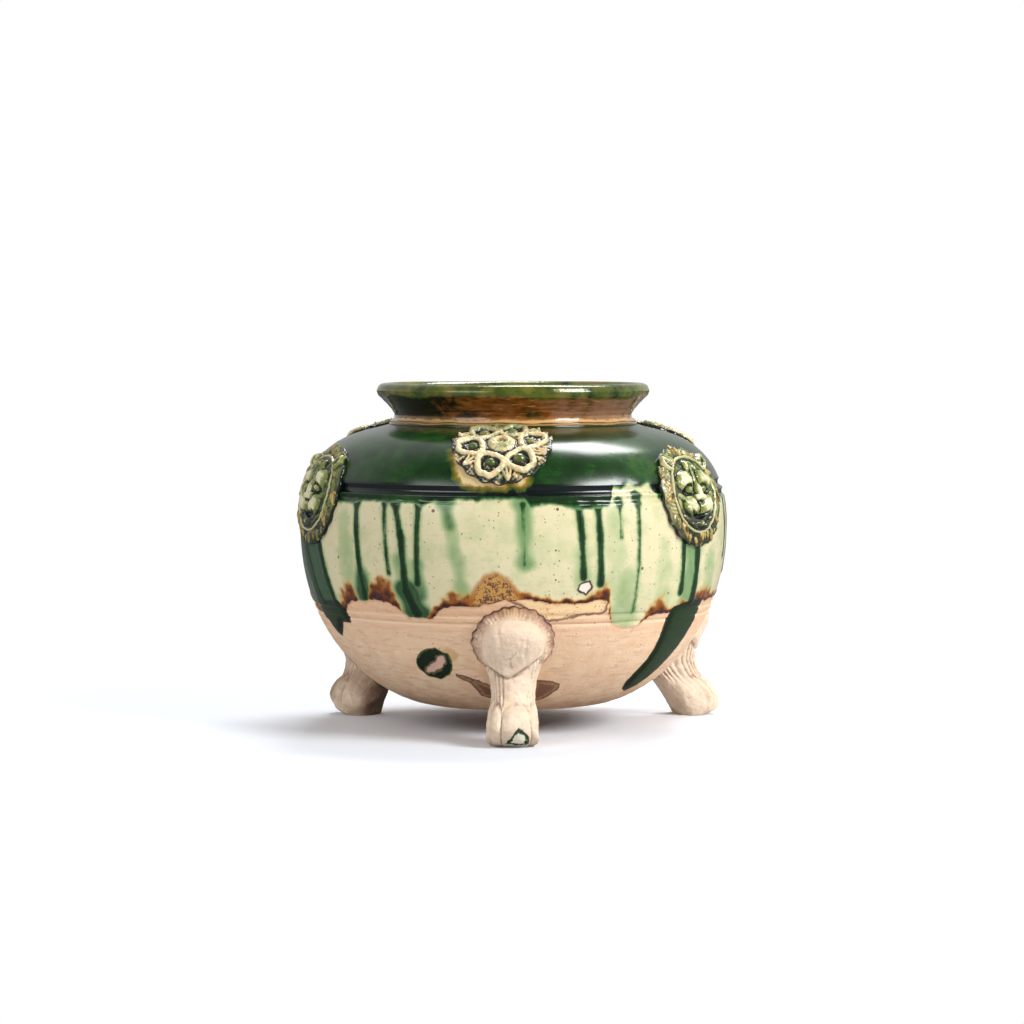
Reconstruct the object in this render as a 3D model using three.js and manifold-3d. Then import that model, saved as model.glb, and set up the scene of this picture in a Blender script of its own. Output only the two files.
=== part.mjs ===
// Tripod incense burner of three-colour lead-glazed earthenware.
// A thrown globular bowl and neck, three press-moulded lion-paw legs with their luting pads,
// and six press-moulded medallions wrapped on the shoulder. Millimetres, +Z up, the front
// faces -Y, and the soles stand on z = 0. An azimuth is counted from the front to the right.
import * as THREE from 'three';
import { mergeVertices } from 'three/addons/utils/BufferGeometryUtils.js';
import Module from 'manifold-3d';

const wasm = await Module();
wasm.setup();

// Bowl
const bodyRadius = 97.5;
const widestZ = 92;
const baseRadius = 43;
const baseZ = 10.7;
const seatRadius = 57;
const seatZ = 137;
const wall = 6;
const baseTurn = 0.3;
const baseLift = 0.03;
const bellyFullness = 0.68;
const shoulderFullness = 0.92;
const seatTurn = 0.26;
const seatDrop = 0.08;

// Neck and rolled lip
const throatRadius = 48.5;
const waistRadius = 54.2;
const waistRise = 4.8;
const rimRadius = 62.3;
const neckHeight = 19.3;
const lipRoll = 3.4;
const footStep = 0.9;
const footRise = 1.1;
const footTop = 2;
const flareShare = 0.3;

// Turned grooves and lines, each at its distance along the wall from the edge of the base
const lowerGrooveAlong = 120.4;
const lowerGrooveWidth = 3.4;
const lowerGrooveDepth = 0.9;
const upperGrooveAlong = 124.7;
const upperGrooveWidth = 4.4;
const upperGrooveDepth = 1.2;
const lowerLineAlong = 65.6;
const upperLineAlong = 69.4;
const lineWidth = 1.8;
const lineDepth = 0.5;

// Legs: where each one stands, and how much further out its foot was pulled than its knee
const legPlaces = {
  front_leg: { azimuth: 0, lean: 1.8 },
  right_leg: { azimuth: 114, lean: 9 },
  left_leg: { azimuth: -117, lean: -3 },
};
const soleInset = 16.5;
const kneeZ = 50;
const toeCount = 4;
const toeRelief = 1.3;
const toeFade = 6;
const fluteRelief = 0.5;
const fluteFade = 8;
const legRoundness = 2.5;

// Luting pads round the heads of the legs
const padBelowKnee = 4;
const padHalfWidth = 18.4;
const padHalfHeight = 16.4;
const padThickness = 2.4;
const padEdgeThickness = 1.7;
const padLobes = 9;
const padScallop = 0.7;

// Flower medallions
const rosetteRadius = 22.3;
const rosetteAlong = 149.5;
const rosetteAzimuths = { front_rosette: -3.5, right_rear_rosette: 117, left_rear_rosette: -123 };
const bossRadius = 6.4;
const bossRise = 3;
const dimpleRadius = 3.2;
const dimpleDepth = 1.6;
const petalCount = 6;
const petalTurn = 20;
const petalRing = 12.9;
const petalHalfWidth = 4.5;
const petalHalfLength = 5.6;
const petalRim = 1.4;
const petalRise = 2.2;
const beadRadius = 2.2;
const beadRise = 1.7;
const leafRise = 0.9;
const leafScallop = 0.9;

// Roundels with a lion's mask in a ring and its mane round it
const roundelRadius = 23.4;
const roundelAlong = 121.5;
const roundelAzimuths = { right_roundel: 56.5, left_roundel: -67, rear_roundel: 172 };
const faceRadius = 16.8;
const faceRise = 0.9;
const ringWidth = 1.1;
const ringRise = 1.5;
const maneTufts = 18;
const maneRise = 1.4;
const maneScallop = 0.8;

// Swellings of the mask, the same on both sides: middle, half sizes, lean inwards and rise
const maskForms = [
  { x: 7.4, y: 5.6, rx: 6.4, ry: 4.8, lean: -16, rise: 3.3 },
  { x: 3, y: 11.4, rx: 1.9, ry: 3.6, lean: 24, rise: 2.4 },
  { x: 6.4, y: -5.2, rx: 6, ry: 4.8, lean: 20, rise: 3.4 },
  { x: 1.6, y: -2, rx: 2.4, ry: 1.9, lean: 0, rise: 3.8 },
  { x: 0, y: 4, rx: 1.9, ry: 8, lean: 0, rise: 3 },
  { x: 0, y: -11.6, rx: 3.8, ry: 2.6, lean: 0, rise: 2.5 },
  { x: 14.6, y: 13.6, rx: 5.4, ry: 3.6, lean: -45, rise: 2.8 },
];

// Clay under the reliefs of both medallions
const platThickness = 1.3;

// Luted faces stand this far apart
const seamGap = 0.3;

const turns = 48;
const belowWall = 3;
const backShares = [1, 0.67, 0.33];
const radians = THREE.MathUtils.degToRad;

// Outer outline of the bowl, from the edge of the base to the seat of the neck
const bellyRise = widestZ - baseZ;
const shoulderRise = seatZ - widestZ;
const outline = new THREE.CurvePath();
outline.add(new THREE.CubicBezierCurve(
  new THREE.Vector2(baseRadius, baseZ),
  new THREE.Vector2(
    baseRadius + baseTurn * (bodyRadius - baseRadius),
    baseZ + baseLift * bellyRise,
  ),
  new THREE.Vector2(bodyRadius, widestZ - bellyFullness * bellyRise),
  new THREE.Vector2(bodyRadius, widestZ),
));
outline.add(new THREE.CubicBezierCurve(
  new THREE.Vector2(bodyRadius, widestZ),
  new THREE.Vector2(bodyRadius, widestZ + shoulderFullness * shoulderRise),
  new THREE.Vector2(
    seatRadius + seatTurn * (bodyRadius - seatRadius),
    seatZ - seatDrop * shoulderRise,
  ),
  new THREE.Vector2(seatRadius, seatZ),
));
const outlineLength = outline.getLength();

// A point of the outline and its outward normal, both as (radius, height)
function onWall(along) {
  const at = (distance) => outline.getPoint(THREE.MathUtils.clamp(distance / outlineLength, 0, 1));
  const step = 0.2;
  const tangent = at(along + step).sub(at(along - step)).normalize();
  return { point: at(along), normal: new THREE.Vector2(tangent.y, -tangent.x) };
}

function offWall(along, distance) {
  const { point, normal } = onWall(along);
  return point.addScaledVector(normal, distance);
}

// Distance along the wall up to a height
function alongAt(z) {
  let [below, above] = [0, outlineLength];
  const closeness = 0.001;
  while (above - below > closeness) {
    const middle = (below + above) / 2;
    if (onWall(middle).point.y < z) {
      below = middle;
    } else {
      above = middle;
    }
  }
  return below;
}

// Closed solids

function toSolid(geometry) {
  const bare = geometry.clone();
  bare.deleteAttribute('normal');
  bare.deleteAttribute('uv');
  const merged = mergeVertices(bare);
  const index = merged.index.array;
  const kept = [];
  for (let i = 0; i < index.length; i += 3) {
    const [a, b, c] = [index[i], index[i + 1], index[i + 2]];
    if (a !== b && b !== c && c !== a) {
      kept.push(a, b, c);
    }
  }
  return new wasm.Manifold(new wasm.Mesh({
    numProp: 3,
    vertProperties: merged.attributes.position.array,
    triVerts: new Uint32Array(kept),
  }));
}

function toGeometry(solid) {
  const mesh = solid.getMesh();
  const geometry = new THREE.BufferGeometry();
  geometry.setAttribute('position', new THREE.BufferAttribute(mesh.vertProperties, 3));
  geometry.setIndex(new THREE.BufferAttribute(mesh.triVerts, 1));
  geometry.computeVertexNormals();
  return geometry;
}

function revolve(profile) {
  const lathe = new THREE.LatheGeometry(profile, turns);
  lathe.rotateX(Math.PI / 2);
  return toSolid(lathe);
}

// Joins rings of equal count into one closed skin with a fan at each end.
// The rings run counterclockwise, seen from the last pole. Each square is split along its
// shorter diagonal, so that the faces follow the ridges and hollows of a relief.
function skin(firstPole, rings, lastPole) {
  const count = rings[0].length;
  const points = [firstPole, ...rings.flat(), lastPole];
  const at = (ring, k) => 1 + ring * count + (k % count);
  const top = rings.length - 1;
  const faces = [];
  for (let k = 0; k < count; k++) {
    faces.push(0, at(0, k + 1), at(0, k));
    for (let ring = 0; ring < top; ring++) {
      const corners = [at(ring, k), at(ring, k + 1), at(ring + 1, k + 1), at(ring + 1, k)];
      const [a, b, c, d] = corners.map((corner) => points[corner]);
      if (a.distanceTo(c) > b.distanceTo(d)) {
        corners.push(corners.shift());
      }
      const [first, second, third, fourth] = corners;
      faces.push(first, second, third, first, third, fourth);
    }
    faces.push(points.length - 1, at(top, k), at(top, k + 1));
  }
  const geometry = new THREE.BufferGeometry().setFromPoints(points);
  geometry.setIndex(faces);
  return toSolid(geometry);
}

// Bowl: outer wall with its turned lines, flat seat for the neck, inner wall and floor

function wallStations() {
  const lines = [
    { along: lowerLineAlong, width: lineWidth, depth: lineDepth },
    { along: upperLineAlong, width: lineWidth, depth: lineDepth },
    { along: lowerGrooveAlong, width: lowerGrooveWidth, depth: lowerGrooveDepth },
    { along: upperGrooveAlong, width: upperGrooveWidth, depth: upperGrooveDepth },
  ];
  const spans = 14;
  const even = Array.from({ length: spans + 1 }, (_, i) => (i / spans) * outlineLength);
  const clear = even.filter((along) => lines.every(
    (line) => Math.abs(along - line.along) > line.width,
  ));
  const cut = lines.flatMap((line) => [
    { along: line.along - line.width / 2, depth: 0 },
    { along: line.along, depth: line.depth },
    { along: line.along + line.width / 2, depth: 0 },
  ]);
  const stations = [...clear.map((along) => ({ along, depth: 0 })), ...cut];
  return stations.sort((a, b) => a.along - b.along);
}

function makeBowl() {
  const outer = wallStations().map(({ along, depth }) => offWall(along, -depth));
  const innerSpans = 7;
  const inner = [];
  for (let i = innerSpans; i >= 0; i--) {
    inner.push(offWall((i / innerSpans) * outlineLength, -wall));
  }
  return revolve([
    new THREE.Vector2(0, baseZ),
    ...outer,
    new THREE.Vector2(throatRadius, seatZ),
    new THREE.Vector2(throatRadius, seatZ - wall),
    ...inner,
    new THREE.Vector2(0, baseZ + wall),
  ]);
}

// The space that the bowl fills, grown by the seam, that cuts what is luted on it
function makeSeatCutter() {
  return revolve([
    new THREE.Vector2(0, baseZ - seamGap),
    ...wallStations().map(({ along }) => offWall(along, seamGap)),
    new THREE.Vector2(0, seatZ + seamGap),
  ]);
}

// Neck: stepped foot, drawn-in waist, flare and rolled lip
function makeNeck() {
  const foot = seatZ + seamGap;
  const waistZ = foot + waistRise;
  const lipCentre = new THREE.Vector2(rimRadius - lipRoll, seatZ + neckHeight - lipRoll);
  const underLip = radians(-50);
  const insideLip = radians(200);
  const lipStart = new THREE.Vector2(
    lipCentre.x + lipRoll * Math.cos(underLip),
    lipCentre.y + lipRoll * Math.sin(underLip),
  );
  const flareTurn = THREE.MathUtils.lerp(waistZ, lipStart.y, flareShare);
  const profile = new THREE.Path();
  profile.moveTo(throatRadius + footStep, foot);
  profile.lineTo(seatRadius - seamGap, foot);
  profile.lineTo(seatRadius - footStep, foot + footRise);
  profile.lineTo(seatRadius - footStep, foot + footTop);
  profile.quadraticCurveTo(waistRadius, foot + footTop, waistRadius, waistZ);
  profile.quadraticCurveTo(waistRadius, flareTurn, lipStart.x, lipStart.y);
  profile.absarc(lipCentre.x, lipCentre.y, lipRoll, underLip, insideLip);
  profile.quadraticCurveTo(throatRadius, flareTurn, throatRadius, waistZ);
  profile.lineTo(throatRadius + footStep, foot);
  const divisions = 3;
  return revolve(profile.getPoints(divisions));
}

// Relief wrapped on the wall. x runs to the right and y up the wall from the centre, and
// edge(turn) gives the outline's radius, with turn from the top to the right. Its back
// follows the wall at the distance backRise.
function wrapRelief({ along, edge, height, shares, spokes, backRise = seamGap }) {
  const place = (x, y, rise) => {
    const spot = offWall(along + y, rise);
    const azimuth = x / onWall(along + y).point.x;
    return new THREE.Vector3(spot.x * Math.sin(azimuth), -spot.x * Math.cos(azimuth), spot.y);
  };
  const turnsOf = Array.from({ length: spokes }, (_, k) => (k / spokes) * 2 * Math.PI);
  const ringAt = (share, rise) => turnsOf.map((turn) => {
    const x = share * edge(turn) * Math.sin(turn);
    const y = share * edge(turn) * Math.cos(turn);
    return place(x, y, rise ?? height(x, y));
  });
  const front = shares.map((share) => ringAt(share));
  const back = backShares.map((share) => ringAt(share, backRise));
  return skin(place(0, 0, height(0, 0)), [...front, ...back], place(0, 0, backRise));
}

// Distance from the middle of a leaning oval, where 1 is its edge
function ovalDistance(x, y, { x: centreX, y: centreY, rx, ry, lean = 0 }) {
  const offset = new THREE.Vector2(x - centreX, y - centreY);
  offset.rotateAround(new THREE.Vector2(), radians(lean));
  return Math.hypot(offset.x / rx, offset.y / ry);
}

// A rounded swelling over an oval, 1 at its middle and 0 outside
function swell(x, y, oval) {
  const away = ovalDistance(x, y, oval);
  const fullness = 0.6;
  return away < 1 ? (1 - away * away) ** fullness : 0;
}

// A bank of round section, 1 on its middle line and 0 beyond its half width
function bank(distance, halfWidth) {
  return Math.max(0, 1 - (distance / halfWidth) ** 2);
}

// Flower medallion: dimpled boss, cupped petals with a bead in each, and leaves outside
function makeRosette() {
  const leafTips = 3 * petalCount;
  const outer = petalRing + petalHalfLength;
  const petals = Array.from({ length: petalCount }, (_, k) => {
    const lean = petalTurn + (k / petalCount) * 360;
    const turn = radians(lean);
    return { x: petalRing * Math.sin(turn), y: petalRing * Math.cos(turn), lean };
  });
  const boss = { x: 0, y: 0, rx: bossRadius, ry: bossRadius };
  const dimple = { x: 0, y: 0, rx: dimpleRadius, ry: dimpleRadius };
  const height = (x, y) => {
    const turn = Math.atan2(x, y);
    const leafShare = THREE.MathUtils.smoothstep(Math.hypot(x, y), petalRing, outer);
    const rises = petals.flatMap((petal) => {
      const rim = { ...petal, rx: petalHalfWidth, ry: petalHalfLength };
      const bead = { ...petal, rx: beadRadius, ry: beadRadius };
      return [
        petalRise * bank((ovalDistance(x, y, rim) - 1) * petalHalfWidth, petalRim),
        beadRise * swell(x, y, bead),
      ];
    });
    return platThickness + Math.max(
      leafRise * leafShare * (1 + Math.cos(leafTips * turn)) / 2,
      bossRise * swell(x, y, boss) - dimpleDepth * swell(x, y, dimple),
      ...rises,
    );
  };
  const rings = [
    dimpleRadius,
    (bossRadius + dimpleRadius) / 2,
    bossRadius,
    petalRing - petalHalfLength,
    petalRing - beadRadius,
    petalRing,
    petalRing + beadRadius,
    outer,
    (outer + rosetteRadius) / 2,
    rosetteRadius,
  ];
  return wrapRelief({
    along: rosetteAlong,
    edge: (turn) => rosetteRadius - leafScallop * (1 - Math.cos(leafTips * turn)) / 2,
    height,
    shares: rings.map((ring) => ring / rosetteRadius),
    spokes: 2 * leafTips,
  });
}

// Roundel: a lion's mask in a thin ring, with ears, and tufts of mane swept round the ring
function makeRoundel() {
  const forms = maskForms.flatMap((form) => [
    form,
    { ...form, x: -form.x, lean: -form.lean },
  ]);
  const height = (x, y) => {
    const away = Math.hypot(x, y);
    const outside = THREE.MathUtils.smoothstep(away, faceRadius, faceRadius + 2 * ringWidth);
    const tuft = (1 + Math.cos(maneTufts * Math.atan2(x, y))) / 2;
    const rises = forms.map((form) => form.rise * swell(x, y, form));
    return platThickness + Math.max(
      faceRise * bank(away, faceRadius),
      ringRise * bank(away - faceRadius, ringWidth),
      maneRise * outside * tuft,
      ...rises,
    );
  };
  const faceRings = 5;
  const faceStep = (faceRadius - ringWidth) / faceRings;
  const rings = [
    ...Array.from({ length: faceRings }, (_, k) => (k + 1) * faceStep),
    faceRadius,
    faceRadius + 1.5 * ringWidth,
    (faceRadius + roundelRadius) / 2,
    roundelRadius,
  ];
  return wrapRelief({
    along: roundelAlong,
    edge: (turn) => roundelRadius - maneScallop * (1 - Math.cos(maneTufts * turn)) / 2,
    height,
    shares: rings.map((ring) => ring / roundelRadius),
    spokes: 2 * maneTufts,
  });
}

// Luting pad: a thin lobed sheet of clay pressed on the wall round the head of a leg
function makePad(clearance = 0, backRise = seamGap) {
  const edge = (turn) => {
    const oval = 1 / Math.hypot(Math.sin(turn) / padHalfWidth, Math.cos(turn) / padHalfHeight);
    return oval - padScallop * (1 - Math.cos(padLobes * turn)) / 2 + clearance;
  };
  const height = (x, y) => {
    const away = Math.min(1, Math.hypot(x / padHalfWidth, y / padHalfHeight));
    return THREE.MathUtils.lerp(padThickness, padEdgeThickness, away * away) + clearance;
  };
  return wrapRelief({
    along: alongAt(kneeZ - padBelowKnee),
    edge,
    height,
    shares: [0.35, 0.7, 1],
    spokes: 4 * padLobes,
    backRise,
  });
}

// Leg: height above the floor, front and back as distances from the middle of the sole
// towards the front, and half width
const legSections = [
  { z: 0, front: 6.2, back: -5.8, half: 9.4 },
  { z: 1.8, front: 9.8, back: -6.4, half: 10.4 },
  { z: 4.5, front: 13.4, back: -7.6, half: 11 },
  { z: 8.5, front: 15.6, back: -9.8, half: 11.1 },
  { z: 14, front: 13.4, back: -12.8, half: 10.5 },
  { z: 20.5, front: 8.4, back: -17, half: 9.7 },
  { z: 27, front: 7.3, back: -21, half: 10.2 },
  { z: 33, front: 8.4, back: -17.5, half: 11.7 },
  { z: 38.5, front: 11.4, back: -12.5, half: 12.9 },
  { z: 43.5, front: 14.6, back: -8, half: 13.3 },
  { z: 48.5, front: 16.2, back: -3.5, half: 12.6 },
  { z: 53, front: 16, back: 1, half: 10.2 },
  { z: 57, front: 14, back: 5.5, half: 6.4 },
];
const crownZ = 58.3;
const pawTop = 13;
const shankTop = 38;
const soleRadius = bodyRadius - soleInset;

function legRing({ z, front, back, half }, lean) {
  const count = 8 * toeCount - 4;
  const round = (value) => Math.sign(value) * Math.abs(value) ** (2 / legRoundness);
  const middle = (front + back) / 2 + lean * (1 - z / kneeZ);
  const depth = (front - back) / 2;
  const pawShare = THREE.MathUtils.smoothstep(pawTop - z, 0, toeFade)
    * THREE.MathUtils.smoothstep(z, -toeFade / 4, toeFade / 2);
  const shankShare = THREE.MathUtils.smoothstep(z, pawTop - fluteFade / 2, pawTop)
    * THREE.MathUtils.smoothstep(shankTop - z, 0, fluteFade);
  return Array.from({ length: count }, (_, k) => {
    const turn = (k / count) * 2 * Math.PI;
    const facing = Math.max(0, -Math.sin(turn));
    const toes = toeRelief * pawShare * Math.sqrt(facing) * (2 * Math.abs(Math.sin(toeCount * turn)) - 1);
    const flutes = fluteRelief * shankShare * Math.cos((count / 2) * turn);
    const swollen = 1 + (toes + flutes) / depth;
    const outward = soleRadius + middle - depth * round(Math.sin(turn)) * swollen;
    return new THREE.Vector3(half * round(Math.cos(turn)) * swollen, -outward, z);
  });
}

function makeLeg(seatCutter, lean) {
  const last = legSections.at(-1);
  const crown = soleRadius + (last.front + last.back) / 2 + lean * (1 - last.z / kneeZ);
  const loft = skin(
    new THREE.Vector3(0, -soleRadius - lean, 0),
    legSections.map((section) => legRing(section, lean)),
    new THREE.Vector3(0, -crown, crownZ),
  );
  return loft.subtract(seatCutter).subtract(makePad(seamGap, -belowWall));
}

// Assembly

function finish(color, roughness) {
  return new THREE.MeshStandardMaterial({ color, roughness, metalness: 0 });
}

const creamGlaze = finish('#d4d2a6', 0.15);
const amberGlaze = finish('#74481f', 0.15);
const flowerGlaze = finish('#cdb98a', 0.18);
const roundelGlaze = finish('#7b8648', 0.18);
const bareClay = finish('#d9c1a8', 0.8);
const lutingClay = finish('#a58a7c', 0.85);

const burner = new THREE.Group();

function place(name, solid, material, azimuth = 0) {
  const mesh = new THREE.Mesh(toGeometry(solid), material);
  mesh.name = name;
  mesh.rotation.z = radians(azimuth);
  burner.add(mesh);
}

const seatCutter = makeSeatCutter();
place('bowl_body', makeBowl(), creamGlaze);
place('neck_rim', makeNeck(), amberGlaze);

const pad = makePad();
for (const [name, { azimuth, lean }] of Object.entries(legPlaces)) {
  place(name, makeLeg(seatCutter, lean), bareClay, azimuth);
  place(`${name}_pad`, pad, lutingClay, azimuth);
}

const rosette = makeRosette();
for (const [name, azimuth] of Object.entries(rosetteAzimuths)) {
  place(name, rosette, flowerGlaze, azimuth);
}

const roundel = makeRoundel();
for (const [name, azimuth] of Object.entries(roundelAzimuths)) {
  place(name, roundel, roundelGlaze, azimuth);
}

export default burner;
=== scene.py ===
import math

import bmesh
import bpy
import numpy as np
from mathutils import Matrix, Vector, noise


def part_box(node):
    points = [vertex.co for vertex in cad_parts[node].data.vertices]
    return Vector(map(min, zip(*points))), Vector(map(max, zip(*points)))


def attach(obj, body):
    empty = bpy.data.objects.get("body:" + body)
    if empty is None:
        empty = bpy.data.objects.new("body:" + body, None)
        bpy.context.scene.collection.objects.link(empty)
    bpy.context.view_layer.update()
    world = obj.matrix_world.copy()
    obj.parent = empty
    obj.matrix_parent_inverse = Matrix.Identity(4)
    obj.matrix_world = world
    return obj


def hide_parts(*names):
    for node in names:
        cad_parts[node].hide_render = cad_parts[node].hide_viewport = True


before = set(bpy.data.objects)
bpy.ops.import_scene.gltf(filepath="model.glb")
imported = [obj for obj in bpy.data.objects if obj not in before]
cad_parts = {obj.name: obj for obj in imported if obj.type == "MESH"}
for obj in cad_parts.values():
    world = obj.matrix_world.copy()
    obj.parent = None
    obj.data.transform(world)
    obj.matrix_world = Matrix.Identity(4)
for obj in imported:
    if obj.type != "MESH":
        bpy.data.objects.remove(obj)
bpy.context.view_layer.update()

# Bowl. Buff earthenware thrown on the wheel, with two grooves turned round the shoulder and fine
# lines round the belly. Copper-green glaze, poured over a cream glaze on the shoulder, ran down in
# drips, and both stopped above a bare foot.

MM = 0.001
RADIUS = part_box("bowl_body")[1].x / MM
BASE_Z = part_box("bowl_body")[0].z / MM
SEAT_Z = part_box("bowl_body")[1].z / MM
WIDEST_Z = 92.0
BASE_RADIUS = 43.0
SEAT_RADIUS = 57.0
THROAT_RADIUS = 48.5
WALL = 6.0
BELLY_FULLNESS = 0.68
SHOULDER_FULLNESS = 0.92
BOWL_TURNS = 480
# Turned lines: place along the wall, width and depth
LOWER_GROOVE = (120.4, 3.4, 0.9)
UPPER_GROOVE = (124.7, 4.4, 1.2)
BELLY_LINES = ((65.6, 1.6, 0.7), (69.4, 1.6, 0.7), (82.5, 0.9, 0.18))
# Lower and upper edge of the band where the glaze pooled near black, each as its start and full
POOL_LOW = (122.2, 123.2)
POOL_TOP = (128.6, 127.2)
# A place high on the shoulder that stands for the inside, which is glazed too
INSIDE_ALONG = 150.0
# What a field says far outside the patch that it measures
FAR_OUT = -9.0
LEAD_GLASS_IOR = 1.58


def smooth(low, high, value):
    t = np.clip((value - low) / (high - low), 0.0, 1.0)
    return t * t * (3 - 2 * t)


def bezier(a, b, c, d, count):
    t = np.linspace(0.0, 1.0, count)[:, None]
    a, b, c, d = (np.array(p, float) for p in (a, b, c, d))
    return (1 - t) ** 3 * a + 3 * (1 - t) ** 2 * t * b + 3 * (1 - t) * t * t * c + t ** 3 * d


belly_rise = WIDEST_Z - BASE_Z
shoulder_rise = SEAT_Z - WIDEST_Z
belly = bezier(
    (BASE_RADIUS, BASE_Z),
    (BASE_RADIUS + 0.3 * (RADIUS - BASE_RADIUS), BASE_Z + 0.03 * belly_rise),
    (RADIUS, WIDEST_Z - BELLY_FULLNESS * belly_rise),
    (RADIUS, WIDEST_Z),
    1500,
)
shoulder = bezier(
    (RADIUS, WIDEST_Z),
    (RADIUS, WIDEST_Z + SHOULDER_FULLNESS * shoulder_rise),
    (SEAT_RADIUS + 0.26 * (RADIUS - SEAT_RADIUS), SEAT_Z - 0.08 * shoulder_rise),
    (SEAT_RADIUS, SEAT_Z),
    1500,
)
outline = np.vstack([belly, shoulder[1:]])
outline_along = np.concatenate([[0.0], np.cumsum(np.linalg.norm(np.diff(outline, axis=0), axis=1))])
OUTLINE_LENGTH = outline_along[-1]


def wall_point(along):
    """Radius and height of the outer wall at a distance along it from the edge of the base."""
    along = np.clip(along, 0.0, OUTLINE_LENGTH)
    return (np.interp(along, outline_along, outline[:, 0]),
            np.interp(along, outline_along, outline[:, 1]))


def wall_normal(along):
    """Outward direction of the wall, as its parts along the radius and upwards."""
    r1, z1 = wall_point(along - 0.5)
    r2, z2 = wall_point(along + 0.5)
    length = np.hypot(r2 - r1, z2 - z1)
    return (z2 - z1) / length, -(r2 - r1) / length


def off_wall(along, rise):
    """Radius and height of a place that lies rise mm off the wall."""
    r, z = wall_point(along)
    nr, nz = wall_normal(along)
    return r + rise * nr, z + rise * nz


def on_circle(radius, height, azimuth):
    """Points in mm from radius, height and azimuth in degrees, counted from the front to the right."""
    angle = np.radians(azimuth)
    return np.stack(np.broadcast_arrays(
        radius * np.sin(angle), -radius * np.cos(angle), height), axis=-1)


def wrapped(degrees):
    return (degrees + 180.0) % 360.0 - 180.0


def mottle(points, size, seed=0.0):
    """Smooth noise from -1 to 1 at points in mm, with features about size mm wide."""
    flat = np.asarray(points, float).reshape(-1, 3) / size + seed
    return np.array([noise.noise(Vector(p)) for p in flat]).reshape(np.asarray(points).shape[:-1])


def linear(colour):
    """Linear RGBA of an sRGB hex colour."""
    parts = [int(colour[i:i + 2], 16) / 255 for i in (1, 3, 5)]
    return [c / 12.92 if c <= 0.04045 else ((c + 0.055) / 1.055) ** 2.4 for c in parts] + [1.0]


def connect(tree, node, inputs):
    """Sets or links inputs of a node, each found by its number or name."""
    for key, value in inputs.items():
        socket = node.inputs[key] if isinstance(key, int) else next(
            s for s in node.inputs if s.name == key and s.enabled)
        if isinstance(value, bpy.types.Node):
            value = next(s for s in value.outputs if s.enabled)
        if isinstance(value, bpy.types.NodeSocket):
            tree.links.new(value, socket)
        elif isinstance(value, str) and value.startswith("#"):
            socket.default_value = linear(value)
        else:
            socket.default_value = value


def add(tree, kind, inputs=None, stops=(), **settings):
    """Adds a node, sets its properties and ramp stops, and sets or links its inputs."""
    node = tree.nodes.new(kind)
    for key, value in settings.items():
        setattr(node, key, value)
    for k, (place, colour) in enumerate(stops):
        if k > 1:
            node.color_ramp.elements.new(place)
        node.color_ramp.elements[k].position = place
        node.color_ramp.elements[k].color = linear(colour)
    connect(tree, node, inputs or {})
    return node


def new_tree(name, inputs):
    tree = bpy.data.node_groups.new(name, "GeometryNodeTree")
    for key, kind in inputs.items():
        tree.interface.new_socket(key, in_out="INPUT", socket_type=f"NodeSocket{kind}")
    tree.interface.new_socket("Result", in_out="OUTPUT", socket_type="NodeSocketGeometry")
    return tree, add(tree, "NodeGroupInput").outputs


def close_tree(tree, geometry, material):
    real = add(tree, "GeometryNodeRealizeInstances", {"Geometry": geometry})
    dressed = add(tree, "GeometryNodeSetMaterial", {"Geometry": real, "Material": material})
    add(tree, "NodeGroupOutput", {"Result": dressed})


def new_object(name, data):
    thing = bpy.data.objects.new(name, data)
    bpy.context.scene.collection.objects.link(thing)
    return thing


def made_by(tree, name, points, material, fields=None, **inputs):
    """The plain piece that a tree makes of a row of points in mm, with its named inputs set."""
    mesh = bpy.data.meshes.new(name)
    mesh.from_pydata((np.asarray(points) * MM).tolist(), [], [])
    for key, values in (fields or {}).items():
        kind = "FLOAT_VECTOR" if np.ndim(values) == 2 else "FLOAT"
        slot = "vector" if np.ndim(values) == 2 else "value"
        mesh.attributes.new(key, kind, "POINT").data.foreach_set(slot, np.ravel(values))
    piece = new_object(name, mesh)
    modifier = piece.modifiers.new(tree.name, "NODES")
    modifier.node_group = tree
    inputs["Material"] = material
    for socket in tree.interface.items_tree:
        if socket.in_out == "INPUT" and socket.name in inputs:
            modifier[socket.identifier] = inputs[socket.name]
    evaluated = piece.evaluated_get(bpy.context.evaluated_depsgraph_get())
    piece.data = bpy.data.meshes.new_from_object(evaluated)
    piece.modifiers.clear()
    return finished(piece, material)


def finished(piece, material):
    """Gives a piece its one material, smooth faces and outward normals."""
    mesh = piece.data
    mesh.materials.clear()
    mesh.materials.append(material)
    shell = bmesh.new()
    shell.from_mesh(mesh)
    if shell.calc_volume(signed=True) < 0:
        bmesh.ops.reverse_faces(shell, faces=shell.faces)
    for face in shell.faces:
        face.material_index = 0
        face.smooth = True
    shell.to_mesh(mesh)
    shell.free()
    return piece


def keep_fields(piece, fields):
    """Stores values for each point of a piece under the names by which its finish reads them."""
    for key, values in fields.items():
        attribute = piece.data.attributes.new(key, "FLOAT", "POINT")
        attribute.data.foreach_set("value", np.asarray(values, np.float32).ravel())


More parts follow.
